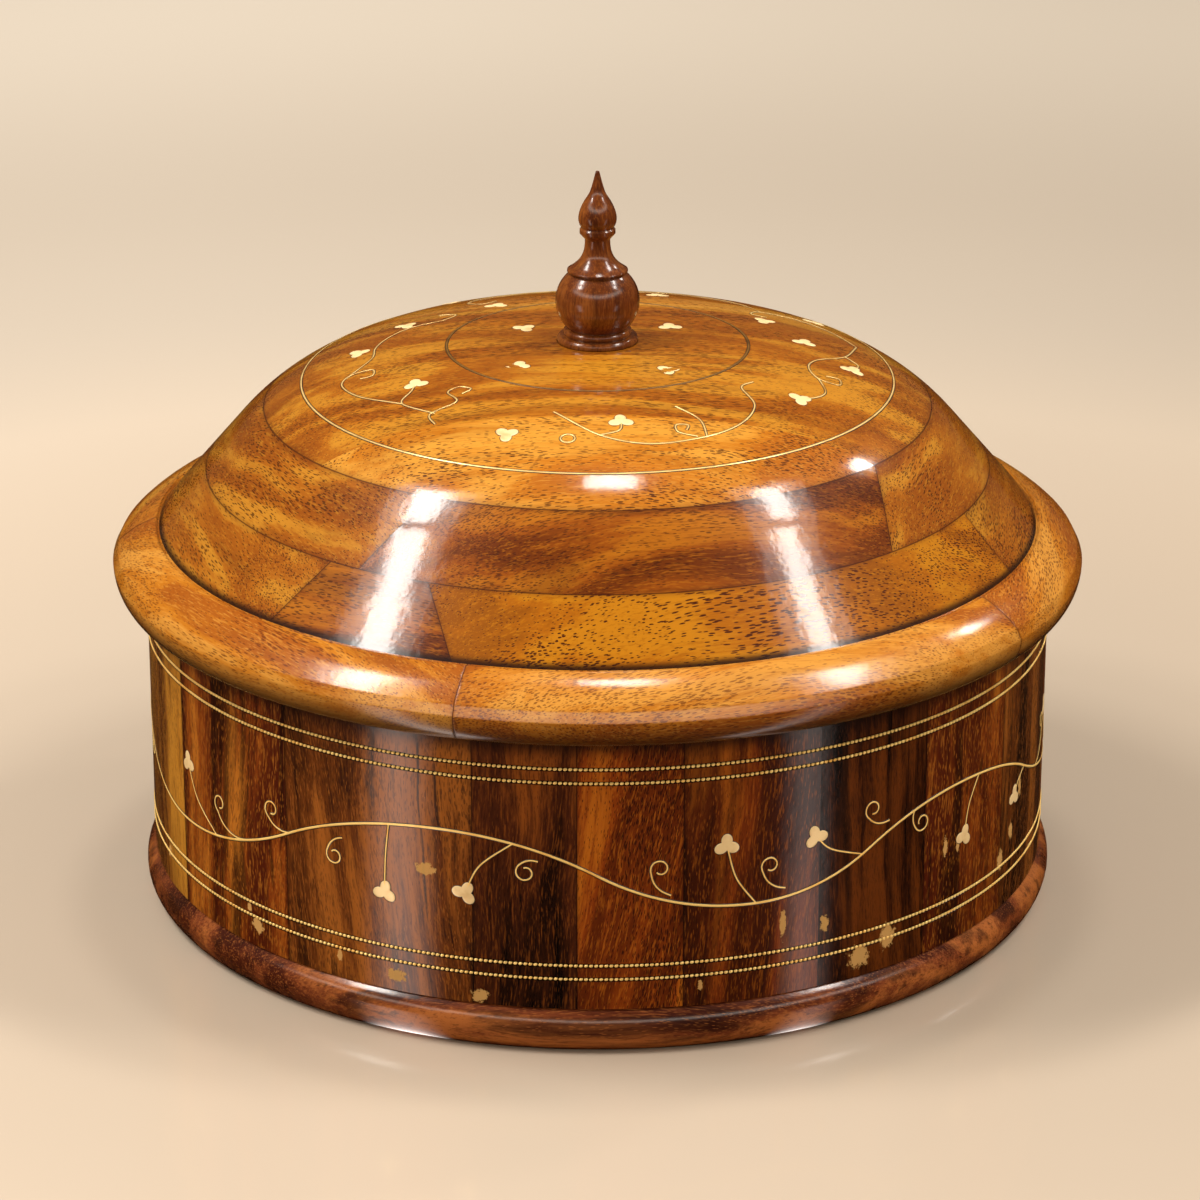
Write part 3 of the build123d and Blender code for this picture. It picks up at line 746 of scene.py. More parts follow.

# %% [markdown]
# ## Brass, steel and the inlayer's lac
#
# The brass is a pale yellow, rubbed nearly flush with the wood and lacquered over with it, so it
# is soft in its gloss and a little browned. There are four kinds: the wires of the wall, the
# brighter polished ones of the lid, the pale sheet of the leaves, and the inner circle of the
# crown, whose colour is painted dark as a painted reflection of the dark room. Round each
# wire a dark line shows: the groove is cut a hair wider than the wire and filled with black
# lac. The screw under the finial is plain steel.


# %% Metals and lac
# How often the stains, the hammer's marks and the lac's clouds repeat in a metre
STAINS = (160, 160)
HAMMER_MARKS = (1400, 1400)
LAC_CLOUDS = (500, 500)
STAIN_EDGE = (0.45, 0.75)
METAL_RELIEF = {"Strength": 0.3, "Distance": 0.05 * MM}
LAC_ROUGHNESS = 0.4


def metal(name, colour, browned, roughness, metallic=1.0):
    """A rubbed metal with slow changes of colour and a fine hammered surface."""
    material, tree, shader, position = new_material(name)
    stain = ramp(tree, noise(tree, position, STAINS, 3.0, 0.6), *STAIN_EDGE)
    marks = noise(tree, position, HAMMER_MARKS)
    bump = add_node(tree, "ShaderNodeBump", {"Height": marks, **METAL_RELIEF})
    feed(tree, shader, {"Base Color": mix_colour(tree, stain, colour, browned), "Normal": bump.outputs[0]})
    feed(tree, shader, {"Metallic": metallic, "Roughness": roughness})
    return material


def lac_material():
    """Black lac with a trace of brown."""
    material, tree, shader, position = new_material("lac")
    cloud = noise(tree, position, LAC_CLOUDS)
    colour = mix_colour(tree, cloud, tint("#160a05"), tint("#3a1c0c"))
    feed(tree, shader, {"Base Color": colour, "Roughness": LAC_ROUGHNESS})
    return material


brass = metal("brass", tint("#ffd680"), tint("#f4b654"), 0.34, 0.2)
polished_brass = metal("polished_brass", tint("#ffd88c"), tint("#d8a050"), 0.3, 0.5)
sheet_brass = metal("sheet_brass", tint("#f4d49c"), tint("#deb478"), 0.38, 0.2)
# Painted reflection: the inner circle's brass is coloured dark for the dark room that it mirrors
painted_dark_brass = metal("painted_dark_brass", tint("#8a6228"), tint("#5a3a14"), 0.4, 0.4)
steel = metal("steel", tint("#b9b6b0"), tint("#8f8a84"), 0.3)
lac = lac_material()
dress("finial_screw", steel)
dress("lid_circle_outer", brass)
dress("lid_circle_inner", brass)
print("materials:", len(bpy.data.materials))

# %% [markdown]
# ## Twisted wires
#
# The four rings on the wall are two thin wires twisted together and pressed into a groove, so
# each shows as a row of slanting beads. A real twist could be swept as two helices, but that is
# a great many faces for something less than a millimetre wide. What the eye sees is one bead
# after another, so Geometry Nodes place a small slanting bead on each point of a circle.

# %% The tree for a twisted wire
WIRE_INPUTS = (
    ("Ring Radius", "NodeSocketFloat"),
    ("Ring Height", "NodeSocketFloat"),
    ("Bead Count", "NodeSocketInt"),
    ("Bead Length", "NodeSocketFloat"),
    ("Bead Width", "NodeSocketFloat"),
    ("Slant", "NodeSocketFloat"),
    ("Metal", "NodeSocketMaterial"),
)
BEAD_SHAPE = {"Segments": 8, "Rings": 6, "Radius": 0.5}


def make_tree(name, wanted):
    """An empty Geometry Nodes tree with named inputs; returns it and the inputs' identifiers."""
    tree = bpy.data.node_groups.new(name, "GeometryNodeTree")
    tree.interface.new_socket(name="Geometry", in_out="INPUT", socket_type="NodeSocketGeometry")
    tree.interface.new_socket(name="Geometry", in_out="OUTPUT", socket_type="NodeSocketGeometry")
    identifiers = {}
    for label, kind in wanted:
        socket = tree.interface.new_socket(name=label, in_out="INPUT", socket_type=kind)
        identifiers[label] = socket.identifier
    return tree, identifiers


def finish_tree(tree, shape, material):
    """Turn instances into a real mesh, shade it smooth and give it its material."""
    shape = add_node(tree, "GeometryNodeRealizeInstances", {"Geometry": shape}).outputs[0]
    shape = add_node(tree, "GeometryNodeSetShadeSmooth", {"Geometry": shape}).outputs[0]
    inputs = {"Geometry": shape, "Material": material}
    shape = add_node(tree, "GeometryNodeSetMaterial", inputs).outputs[0]
    add_node(tree, "NodeGroupOutput", {"Geometry": shape})


def bead_turn(tree, slant):
    """The turn of a bead: along the ring, and rising by the slant."""
    place = add_node(tree, "GeometryNodeInputPosition").outputs[0]
    tangent = vector_maths(tree, "NORMALIZE", vector_maths(tree, "CROSS_PRODUCT", (0.0, 0.0, 1.0), place))
    rise = add_node(tree, "ShaderNodeCombineXYZ", {"Z": slant}).outputs[0]
    slanting = vector_maths(tree, "ADD", tangent, rise)
    return add_node(tree, "FunctionNodeAlignRotationToVector", {"Vector": slanting}, axis="Z").outputs[0]


def make_twisted_wire():
    """Slanting beads round a ring."""
    tree, identifiers = make_tree("twisted_wire", WIRE_INPUTS)
    given = tree.nodes.new("NodeGroupInput").outputs
    inputs = {"Vertices": given["Bead Count"], "Radius": given["Ring Radius"]}
    ring = add_node(tree, "GeometryNodeMeshCircle", inputs).outputs[0]
    lift = add_node(tree, "ShaderNodeCombineXYZ", {"Z": given["Ring Height"]}).outputs[0]
    ring = add_node(tree, "GeometryNodeTransform", {"Geometry": ring, "Translation": lift}).outputs[0]
    bead = add_node(tree, "GeometryNodeMeshUVSphere", BEAD_SHAPE).outputs[0]
    inputs = {"X": given["Bead Width"], "Y": given["Bead Width"], "Z": given["Bead Length"]}
    size = add_node(tree, "ShaderNodeCombineXYZ", inputs).outputs[0]
    turn = bead_turn(tree, given["Slant"])
    inputs = {"Points": ring, "Instance": bead, "Rotation": turn, "Scale": size}
    beads = add_node(tree, "GeometryNodeInstanceOnPoints", inputs).outputs[0]
    finish_tree(tree, beads, given["Metal"])
    return tree, identifiers


twisted_wire, wire_inputs = make_twisted_wire()
print("twisted_wire inputs:", list(wire_inputs))


# %% Run a tree and keep its result
def grow(name, start_mesh, tree, identifiers, values):
    """Run a Geometry Nodes tree on a mesh and keep what it makes as a plain object."""
    source = add_object(f"{name}_path", start_mesh)
    modifier = source.modifiers.new("shape", "NODES")
    modifier.node_group = tree
    for label, value in values.items():
        modifier[identifiers[label]] = value
    bpy.context.view_layer.update()
    evaluated = source.evaluated_get(bpy.context.evaluated_depsgraph_get())
    mesh = bpy.data.meshes.new_from_object(evaluated)
    bpy.data.objects.remove(source)
    mesh.name = name
    return add_object(name, mesh)


# %% The four twisted wires
BEAD_PITCH = 1.37 * MM
BEAD_LENGTH = 1.15 * MM
BEAD_WIDTH = 0.9 * MM
BEAD_SLANT = 0.28
WIRE_SINK = 0.2 * MM

for number, height in enumerate(HOOP_LEVELS, 1):
    sizes = {
        "Ring Radius": wall_radius - WIRE_SINK,
        "Ring Height": height,
        "Bead Count": round(2 * pi * wall_radius / BEAD_PITCH),
        "Bead Length": BEAD_LENGTH,
        "Bead Width": BEAD_WIDTH,
        "Slant": BEAD_SLANT,
        "Metal": brass,
    }
    wire = grow(f"twisted_wire_{number}", bpy.data.meshes.new("ring"), twisted_wire, wire_inputs, sizes)
    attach(wire, "bowl")
    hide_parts(f"wall_wire_{number}")
    print(wire.name, "faces", len(wire.data.polygons))

# %% [markdown]
# ## Laying a drawing on the wood
#
# The vine is drawn flat and then laid on the wood. On the wall a point is an angle round the
# bowl and a height. On the lid it is X and Y seen from above, and the height comes from the
# dome, whose line is read from the crown boards of the frame. Both give a point and the
# direction that stands out from the wood there.


# %% From the drawing to the wood
DOME_STEP = 1.5 * MM


def dome_line():
    """The crown's outline as radius and height, from the frame's own vertices."""
    highest = {}
    for number in range(1, len(CROWN_PLANKS) + 1):
        for vertex in nodes[f"crown_board_{number}"].data.vertices:
            radius = hypot(vertex.co.x, vertex.co.y)
            key = round(radius / DOME_STEP)
            if key not in highest or vertex.co.z > highest[key][1]:
                highest[key] = (radius, vertex.co.z)
    return [highest[key] for key in sorted(highest)]


DOME_LINE = dome_line()
print("dome line:", len(DOME_LINE), "points, first", DOME_LINE[0], "last", DOME_LINE[-1])


def on_wall(place):
    """A place on the wall, as an angle in degrees and a height in millimetres."""
    angle, height = place
    away = outward(radians(angle))
    return away * wall_radius + LEVEL * height * MM, away


def on_dome(place):
    """A place on the crown, as X and Y in millimetres."""
    x, y = place[0] * MM, place[1] * MM
    radius = hypot(x, y)
    later = next(count for count, (reach, height) in enumerate(DOME_LINE) if reach > radius)
    (near, high), (far, low) = DOME_LINE[later - 1], DOME_LINE[later]
    height = high + (low - high) * (radius - near) / (far - near)
    slope = (high - low) / (far - near)
    away = Vector((x / radius * slope, y / radius * slope, 1)).normalized()
    return Vector((x, y, height)), away


def smooth(points, steps=8):
    """A smooth line through points of a flat drawing, each stretch steered by its neighbours."""
    flat = [Vector((x, y, 0)) for x, y in points]
    line = []
    for count in range(len(flat) - 1):
        start, end = flat[count], flat[count + 1]
        before = flat[max(count - 1, 0)]
        after = flat[min(count + 2, len(flat) - 1)]
        leaving = start + (end - before) / 6
        arriving = end - (after - start) / 6
        line += interpolate_bezier(start, leaving, arriving, end, steps + 1)[:-1]
    return [(point.x, point.y) for point in line] + [tuple(points[-1])]


print("a point on the wall:", on_wall((0, 50))[0], "and on the crown:", on_dome((20, -40))[0])

# %% [markdown]
# ## The vine on the wall
#
# One stem runs right round the bowl and swings up and down. Short stalks leave it and end at
# leaves of three lobes, and between them wires curl up like young tendrils. Between two turning
# points the stem's line is two equal arcs, level at both ends, as the groove in the frame is. A
# curl starts on the stem or a little way off, and bends ever tighter until it winds round its eye.

# %% The drawing on the wall
# The stem's turning points: an angle, and a height on the panel between the wires in percent
PANEL_TOP = HOOP_LEVELS[1] / MM
PANEL_FOOT = HOOP_LEVELS[2] / MM
STEM_TURNS = [
    (angle, PANEL_FOOT + (PANEL_TOP - PANEL_FOOT) * percentage / 100)
    for angle, percentage in (
        (-62.5, 25), (-18.8, 70), (19.0, 29), (50.0, 64), (86.0, 29), (122.0, 68),
        (158.0, 27), (194.0, 69), (229.0, 28), (263.0, 65), (297.5, 25),
    )
]
# Each leaf: its angle and height, the angle where its stalk leaves the stem, and its turn
WALL_LEAVES = (
    (-61.6, 56.2, -54.5, 100), (-26.2, 41.1, -25.5, 80), (-15.9, 44.6, -10.0, 60),
    (15.4, 58.5, 19.1, 90), (26.9, 57.0, 33.5, 110), (51.2, 42.3, 54.2, 70), (64.5, 43.5, 68.0, 80),
    (81.0, 57.0, 86.5, 90), (93.0, 58.0, 98.5, 100), (114.0, 43.0, 115.5, 80), (128.0, 44.5, 132.0, 60),
    (153.0, 57.5, 157.0, 90), (166.0, 58.0, 172.0, 110), (187.0, 42.0, 188.5, 80), (199.0, 44.0, 204.0, 60),
    (224.0, 57.0, 228.0, 90), (237.0, 58.0, 243.0, 110), (257.0, 42.0, 258.5, 80), (270.0, 43.0, 274.0, 60),
)
# Each curl: the angle and height of its eye, the angle of its root, its hand, and its tail's share
WALL_CURLS = (
    (-53.6, 50.4, -47.7, -1, 1.0), (-43.2, 56.2, -40.2, -1, 1.0), (-33.2, 48.6, -31.0, 1, 0.55),
    (-8.5, 52.2, -6.0, 1, 0.6), (7.4, 53.4, 9.0, -1, 0.8), (20.9, 51.2, 23.5, -1, 0.75),
    (35.0, 61.2, 38.6, -1, 0.7), (43.0, 52.6, 41.6, 1, 1.0), (78.0, 55.0, 74.0, 1, 1.0),
    (102.0, 57.0, 99.5, -1, 0.7), (108.0, 50.5, 105.0, 1, 1.0), (137.0, 49.0, 139.0, -1, 0.7),
    (147.0, 53.0, 149.0, -1, 1.0), (176.0, 60.5, 179.0, -1, 0.7), (181.0, 49.5, 178.5, 1, 1.0),
    (210.0, 49.5, 212.0, 1, 0.7), (218.0, 53.5, 220.0, -1, 1.0), (247.0, 60.0, 249.5, -1, 0.7),
    (252.5, 48.0, 250.0, 1, 1.0), (281.0, 46.5, 278.0, 1, 0.7),
)
CURL_RADIUS = 2.7
CURL_TURN = 330
CURL_TIGHTENING = 0.5
CURL_STEPS = 14
TAIL_TURN = 95
TAIL_STEPS = 7
SHORTEST_TAIL = 1.2 * CURL_RADIUS
# Where a stalk bends, as shares of its way round and up, and how far short of its leaf it ends
STALK_BEND_ROUND = 2 / 3
STALK_BEND_UP = 0.45
STALK_GAP = 0.12
MM_PER_DEGREE = wall_radius / MM * pi / 180


def stem_height(angle):
    """The stem's height at an angle: two arcs between turning points, level at both."""
    place = STEM_TURNS[0][0] + (angle - STEM_TURNS[0][0]) % 360
    for (start, low), (end, high) in zip(STEM_TURNS, STEM_TURNS[1:]):
        if place <= end:
            half = wall_radius / MM * sin(radians(end - start) / 2)
            across = wall_radius / MM * sin(radians(place - (start + end) / 2))
            rise = (high - low) / 2
            radius = (half**2 + rise**2) / (2 * abs(rise))
            near = half - abs(across)
            step = radius - sqrt(radius**2 - near**2)
            step = step if rise > 0 else -step
            return low + step if across < 0 else high - step
    return STEM_TURNS[0][1]


def curl_points(angle, height, root, hand, share):
    """A tail from near the stem that bends ever tighter round the eye; share says how near it starts."""
    foot = Vector(((root - angle) * MM_PER_DEGREE, stem_height(root) - height, 0))
    reach = max(foot.length * share, SHORTEST_TAIL)
    points = []
    for step in range(TAIL_STEPS + CURL_STEPS + 1):
        if step <= TAIL_STEPS:
            left = 1 - step / TAIL_STEPS
            radius = CURL_RADIUS + (reach - CURL_RADIUS) * left**2
        else:
            radius = CURL_RADIUS * (1 - CURL_TIGHTENING * (step - TAIL_STEPS) / CURL_STEPS)
        tail_turn = TAIL_TURN * min(step / TAIL_STEPS, 1)
        curl_turn = CURL_TURN * max(step - TAIL_STEPS, 0) / CURL_STEPS
        turn = atan2(foot.y, foot.x) + hand * radians(tail_turn + curl_turn)
        points.append((angle + radius * cos(turn) / MM_PER_DEGREE, height + radius * sin(turn)))
    return points


def stalk_points(angle, height, root):
    """A bent stalk from the stem to just short of a leaf."""
    foot = stem_height(root)
    bend = (root + STALK_BEND_ROUND * (angle - root), foot + STALK_BEND_UP * (height - foot))
    end = (angle + (bend[0] - angle) * STALK_GAP, height + (bend[1] - height) * STALK_GAP)
    return [(root, foot), bend, end]


STEM_STEP = 1.0
stem_line = [(STEM_TURNS[0][0] + STEM_STEP * count, 0) for count in range(round(360 / STEM_STEP) + 1)]
stem_line = [(angle, stem_height(angle)) for angle, height in stem_line]
wall_tendrils = [smooth(stalk_points(angle, height, root)) for angle, height, root, turn in WALL_LEAVES]
wall_tendrils += [smooth(curl_points(*curl), 3) for curl in WALL_CURLS]
print("wall drawing: one stem and", len(wall_tendrils), "tendrils")

# %% [markdown]
# ## The vine on the lid
#
# On the lid the vine wanders between the two brass circles. Its wires were bent by hand, so it
# is drawn as points that were placed on the photograph and smoothed.

# %% The drawing on the lid
# Each wire: its points as X and Y
LID_WIRES = (
    (
        (-12.0, -55.9), (0.7, -68.6), (14.7, -72.1), (29.9, -66.4), (39.5, -57.5), (43.5, -46.2),
        (40.1, -35.8), (43.5, -31.0),
    ),
    ((27.3, -66.9), (22.2, -65.6), (21.5, -62.0), (24.8, -61.6), (24.4, -64.2)),
    ((0.7, -68.6), (6.0, -66.0), (6.4, -61.4)),
    ((29.9, -66.4), (28.0, -58.0), (21.5, -51.7)),
    (
        (-44.6, -56.6), (-46.2, -50.6), (-39.0, -45.2), (-41.6, -38.8), (-38.5, -35.8),
        (-35.2, -38.0), (-37.6, -40.6),
    ),
    (
        (-54.2, -41.6), (-66.1, -31.6), (-72.0, -20.5), (-70.4, -13.8), (-64.0, -12.6),
        (-63.5, -17.5), (-67.0, -18.0),
    ),
    ((-44.8, -50.6), (-54.2, -41.6), (-52.0, -34.5), (-50.8, -29.9)),
    (
        (-70.4, -13.8), (-64.5, -3.0), (-63.8, 7.0), (-60.5, 16.0), (-54.5, 23.5), (-45.0, 27.5),
        (-41.5, 33.0), (-46.5, 35.5),
    ),
    (
        (75.1, 19.3), (71.0, 4.0), (62.3, -5.6), (59.8, -13.1), (62.2, -20.5), (68.0, -22.0),
        (68.2, -17.6), (64.6, -17.4),
    ),
    ((62.2, -20.5), (63.9, -29.0), (61.5, -34.0), (56.3, -37.6)),
    ((71.0, 4.0), (74.5, -1.5), (72.6, -6.9)),
    ((75.1, 19.3), (67.5, 32.5), (57.5, 41.0), (48.0, 42.5), (45.0, 37.0), (49.5, 34.5)),
    ((48.0, 42.5), (42.0, 54.0), (30.0, 62.5), (17.0, 65.5), (3.0, 61.5), (-8.0, 66.0), (-20.0, 67.0)),
    ((-20.0, 67.0), (-33.0, 61.0), (-38.5, 52.0), (-34.0, 46.5), (-30.0, 50.0)),
    ((17.0, 65.5), (19.5, 61.5), (17.7, 57.2)),
    ((-8.0, 66.0), (-10.5, 59.5), (-6.0, 56.0), (-3.5, 59.0)),
)
# Each leaf: X, Y and its turn
LID_LEAVES = (
    (-25.0, -66.2, 20), (6.4, -61.4, 95), (-50.8, -29.9, 100), (56.3, -37.6, 30), (72.6, -6.9, 70),
    (-68.9, 5.9, 10), (-56.0, 27.5, 40), (-29.8, 41.8, 75), (17.7, 57.2, 95), (48.4, 29.0, 15),
    (59.5, 10.1, 80), (-44.0, 64.0, 35), (64.0, 44.5, 60),
    (19.7, -26.0, 25), (-22.2, -22.0, 80), (-21.2, 12.7, 45), (20.9, 14.3, 100),
)
LID_RING = (-8.1, -70.0)
LID_RING_RADIUS = 2.0
LID_RING_STEP = 24
ring_line = [
    (LID_RING[0] + LID_RING_RADIUS * cos(radians(turn)), LID_RING[1] + LID_RING_RADIUS * sin(radians(turn)))
    for turn in range(0, 361, LID_RING_STEP)
]
lid_lines = [smooth(points) for points in LID_WIRES] + [ring_line]
print("lid drawing:", len(lid_lines), "wires and", len(LID_LEAVES), "leaves")

# %% [markdown]
# ## Wires in their grooves
#
# A hammered wire stands a little over a tenth of a millimetre proud, rounded by sanding, with a
# line of black lac on each side. Geometry Nodes follow the drawn line: a flattened circle is carried
# along it, turned so that its short side points out of the wood. The same tree makes the lac,
# wider and lower than the brass.

# %% The tree for a wire in its groove
INLAY_INPUTS = (
    ("Width", "NodeSocketFloat"),
    ("Rise", "NodeSocketFloat"),
    ("Finish", "NodeSocketMaterial"),
)
PROFILE_POINTS = 8


def make_inlaid_wire():
    """A flattened rod along every line of the drawing."""
    tree, identifiers = make_tree("inlaid_wire", INLAY_INPUTS)
    given = tree.nodes.new("NodeGroupInput").outputs
    line = add_node(tree, "GeometryNodeMeshToCurve", {"Mesh": given["Geometry"]}).outputs[0]
    away = add_node(tree, "GeometryNodeInputNamedAttribute", {"Name": "outward"}, data_type="FLOAT_VECTOR")
    inputs = {"Curve": line, "Normal": away.outputs["Attribute"]}
    line = add_node(tree, "GeometryNodeSetCurveNormal", inputs, mode="FREE").outputs[0]
    inputs = {"Resolution": PROFILE_POINTS, "Radius": 1.0}
    profile = add_node(tree, "GeometryNodeCurvePrimitiveCircle", inputs).outputs[0]
    half = maths(tree, "MULTIPLY", given["Width"], 0.5)
    size = add_node(tree, "ShaderNodeCombineXYZ", {"X": given["Rise"], "Y": half, "Z": 1.0}).outputs[0]
    profile = add_node(tree, "GeometryNodeTransform", {"Geometry": profile, "Scale": size}).outputs[0]
    inputs = {"Curve": line, "Profile Curve": profile, "Fill Caps": True}
    rod = add_node(tree, "GeometryNodeCurveToMesh", inputs).outputs[0]
    finish_tree(tree, rod, given["Finish"])
    return tree, identifiers


inlaid_wire, inlay_inputs = make_inlaid_wire()
print("inlaid_wire inputs:", list(inlay_inputs))


# %% Lay the drawn lines on the wood
def line_mesh(name, lines, lay):
    """The lines of a drawing laid on the wood, each point with the way out of the wood."""
    places, ways, edges = [], [], []
    for line in lines:
        first = len(places)
        for point in line:
            place, away = lay(point)
            places.append(place)
            ways += list(away)
        edges += [(count, count + 1) for count in range(first, len(places) - 1)]
    mesh = bpy.data.meshes.new(name)
    mesh.from_pydata(places, edges, [])
    mesh.attributes.new("outward", "FLOAT_VECTOR", "POINT").data.foreach_set("vector", ways)
    return mesh


BRASS_RISE = 0.14 * MM
LAC_RISE = 0.08 * MM
LAC_EDGE = 0.36 * MM
STEM_WIDTH = 0.8 * MM
TENDRIL_WIDTH = 0.52 * MM
CIRCLE_WIDTH = 0.6 * MM
CIRCLE_STEP = 2


def inlay(name, lines, lay, width, body, stands_for=None, alloy=brass):
    """Wires in lac along the lines of a drawing. Where the frame has the wire, they stand for it."""
    for part, wide, rise, finish in (
        (name, width, BRASS_RISE, alloy),
        (f"{name}_lac", width + LAC_EDGE, LAC_RISE, lac),
    ):
        values = {"Width": wide, "Rise": rise, "Finish": finish}
        piece = grow(part, line_mesh(part, lines, lay), inlaid_wire, inlay_inputs, values)
        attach(piece, body)
        if stands_for and part == name:
            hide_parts(stands_for)
        reach = max(hypot(vertex.co.x, vertex.co.y) for vertex in piece.data.vertices)
        print(part, "faces", len(piece.data.polygons), "reach", round(reach, 5))


def circle_line(radius):
    """A closed circle of a flat drawing, in millimetres."""
    turns = [radians(turn) for turn in range(0, 361, CIRCLE_STEP)]
    return [(radius * cos(turn), radius * sin(turn)) for turn in turns]


# %% Every wire and circle of the drawing
inlay("wall_stem", [stem_line], on_wall, STEM_WIDTH, "bowl", "wall_vine")
inlay("wall_tendrils", wall_tendrils, on_wall, TENDRIL_WIDTH, "bowl")
inlay("lid_tendrils", lid_lines, on_dome, TENDRIL_WIDTH, "lid", alloy=polished_brass)
for which, alloy in (("outer", polished_brass), ("inner", painted_dark_brass)):
    node = f"lid_circle_{which}"
    line = circle_line(radius_of(node) / MM - CIRCLE_WIDTH / MM / 2)
    inlay(f"lid_ring_{which}", [line], on_dome, CIRCLE_WIDTH, "lid", node, alloy)

# %% [markdown]
# ## Leaves of sheet brass
#
# A leaf is three overlapping ellipses, filed from one piece of sheet. Seen from its middle, the
# edge in each direction is the farthest that any of the three ellipses reaches, which gives the
# outline without cutting shapes together. The sheet is a little domed, and sits in a bed of lac.

# %% Leaves
LOBE_LENGTH = 4.0
LOBE_WIDTH = 3.3
LOBE_OFFSET = 1.75
LOBE_SPREAD = 108
LEAF_POINTS = 48
LEAF_RINGS = (0.0, 0.5, 0.8, 0.94, 1.0)
# How far the edge of a leaf sinks into the wood, and how high its bed of lac stands
LEAF_SINK = 0.1 * MM
LEAF_BED_RISE = 0.6 * LAC_RISE


def lobe_reach(turn, grown):
    """How far one lobe reaches from the leaf's middle, at an angle from the lobe's own line."""
    long, wide = LOBE_LENGTH / 2 + grown, LOBE_WIDTH / 2 + grown
    across = (cos(turn) / long) ** 2 + (sin(turn) / wide) ** 2
    along = LOBE_OFFSET * cos(turn) / long**2
    rest = (LOBE_OFFSET / long) ** 2 - 1
    return (along + sqrt(max(along**2 - across * rest, 0))) / across


def leaf_outline(turn, grown):
    """The edge of a leaf about its middle, in millimetres."""
    points = []
    for count in range(LEAF_POINTS):
        angle = 2 * pi * count / LEAF_POINTS
        reach = max(lobe_reach(angle - radians(turn + LOBE_SPREAD * lobe), grown) for lobe in (-1, 0, 1))
        points.append((reach * cos(angle), reach * sin(angle)))
    return points


def leaf_mesh(name, leaves, lay, grown, rise, wide=1.0):
    """Leaves as closed domed plates laid on the wood; wide turns millimetres into the drawing's X."""
    places, faces = [], []
    for x, y, turn in leaves:
        outline = leaf_outline(turn, grown)
        centre = len(places)
        for share in LEAF_RINGS:
            height = rise * sqrt(1 - share**4) if share < 1 else -LEAF_SINK
            for dx, dy in outline if share > 0 else outline[:1]:
                place, away = lay((x + dx * share * wide, y + dy * share))
                places.append(place + away * height)
        first = centre + 1
        for count in range(LEAF_POINTS):
            following = (count + 1) % LEAF_POINTS
            faces.append((centre, first + count, first + following))
            for ring in range(len(LEAF_RINGS) - 2):
                inner = first + ring * LEAF_POINTS
                outer = inner + LEAF_POINTS
                faces.append((inner + count, outer + count, outer + following, inner + following))
        rim = first + (len(LEAF_RINGS) - 2) * LEAF_POINTS
        faces.append(tuple(rim + count for count in reversed(range(LEAF_POINTS))))
    mesh = bpy.data.meshes.new(name)
    mesh.from_pydata(places, [], faces)
    mesh.shade_smooth()
    return mesh


def leaves_on(name, leaves, lay, body, wide=1.0):
    """Brass leaves and their beds of lac."""
    for part, grown, rise, finish in (
        (name, 0.0, BRASS_RISE, sheet_brass),
        (f"{name}_lac", LAC_EDGE / MM / 2, LEAF_BED_RISE, lac),
    ):
        mesh = leaf_mesh(part, leaves, lay, grown, rise, wide)
        mesh.materials.append(finish)
        piece = add_object(part, mesh)
        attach(piece, body)
        print(part, "faces", len(mesh.polygons))


wall_leaf_list = [(angle, height, turn) for angle, height, root, turn in WALL_LEAVES]
leaves_on("wall_leaf_plates", wall_leaf_list, on_wall, "bowl", 1 / MM_PER_DEGREE)
leaves_on("lid_leaf_plates", LID_LEAVES, on_dome, "lid")

# %% [markdown]
# ## The table
#
# The box stands on a pale polished table top. The floor is staging and no part of the box. Its
# colour is a little darker just behind the box and lightest far off, so that the picture shows
# an even pale ground, and the left is lighter than the right as in the photograph.
#
# What the lacquer mirrors of the table matters more. Looking down on an upright wall, the eye
# sees the table in it, and a pale table lays a grey veil on dark wood. So a glossy ray, and only
# that, meets a dark table, with two painted bright strips that glow for glossy rays alone. They
# are painted reflections: the soft upright gleams on the wall.

# %% Floor
FLOOR_HALF = 4.0
FLOOR_NEAR = tint("#c1b09d")
FLOOR_BEHIND = tint("#b3a799")
FLOOR_FAR = tint("#d0c5b7")
FLOOR_LEFT = (1.0, 1.0, 1.0, 1.0)
FLOOR_RIGHT = (0.8, 0.79, 0.78, 1.0)
FLOOR_MIRRORED = tint("#241810")
# Where the colours change, as distances from the box, and where the painted daylight fades, as X
NEAR_ENDS = (0.3, 0.6)
FAR_BEGINS = (0.7, 1.2)
DAYLIGHT_FADES = (-0.25, 0.45)
# The polish shows only near the box: the distances where it fades, and its strengths
POLISH_FADES = (0.2, 0.45)
FLOOR_POLISH = 0.6
FLOOR_SPECULAR = 0.5
FLOOR_ROUGHNESS = 0.35
POLISH_ROUGHNESS = 0.08
# Each gleam: its direction, its half width and its strength
GLEAMS = ((-51.7, 11.0, 4.2), (54.5, 8.0, 2.6))
GLEAM_ORIGIN = -0.079
GLEAM_COLOUR = tint("#fff0e8")

floor_mesh = bpy.data.meshes.new("floor")
floor_corners = [(x * FLOOR_HALF, y * FLOOR_HALF, 0) for x, y in ((-1, -1), (1, -1), (1, 1), (-1, 1))]
floor_mesh.from_pydata(floor_corners, [], [(0, 1, 2, 3)])
floor = add_object("floor", floor_mesh)
print("floor:", FLOOR_HALF * 2, "m wide")


# %% The floor's colours, polish and gleams
# Painted light: the gleams are strips in which the floor glows, and only glossy rays see them
def gleams(tree, x, y):
    """Bright strips that spread from one point, each as strong as it is near its direction."""
    turn = maths(tree, "ARCTAN2", x, maths(tree, "SUBTRACT", GLEAM_ORIGIN, y))
    total = None
    for direction, half, strength in GLEAMS:
        aside = maths(tree, "ABSOLUTE", maths(tree, "SUBTRACT", turn, radians(direction)))
        strip = ramp(tree, aside, 0.0, radians(half), strength, 0.0)
        total = strip if total is None else maths(tree, "ADD", total, strip)
    return total


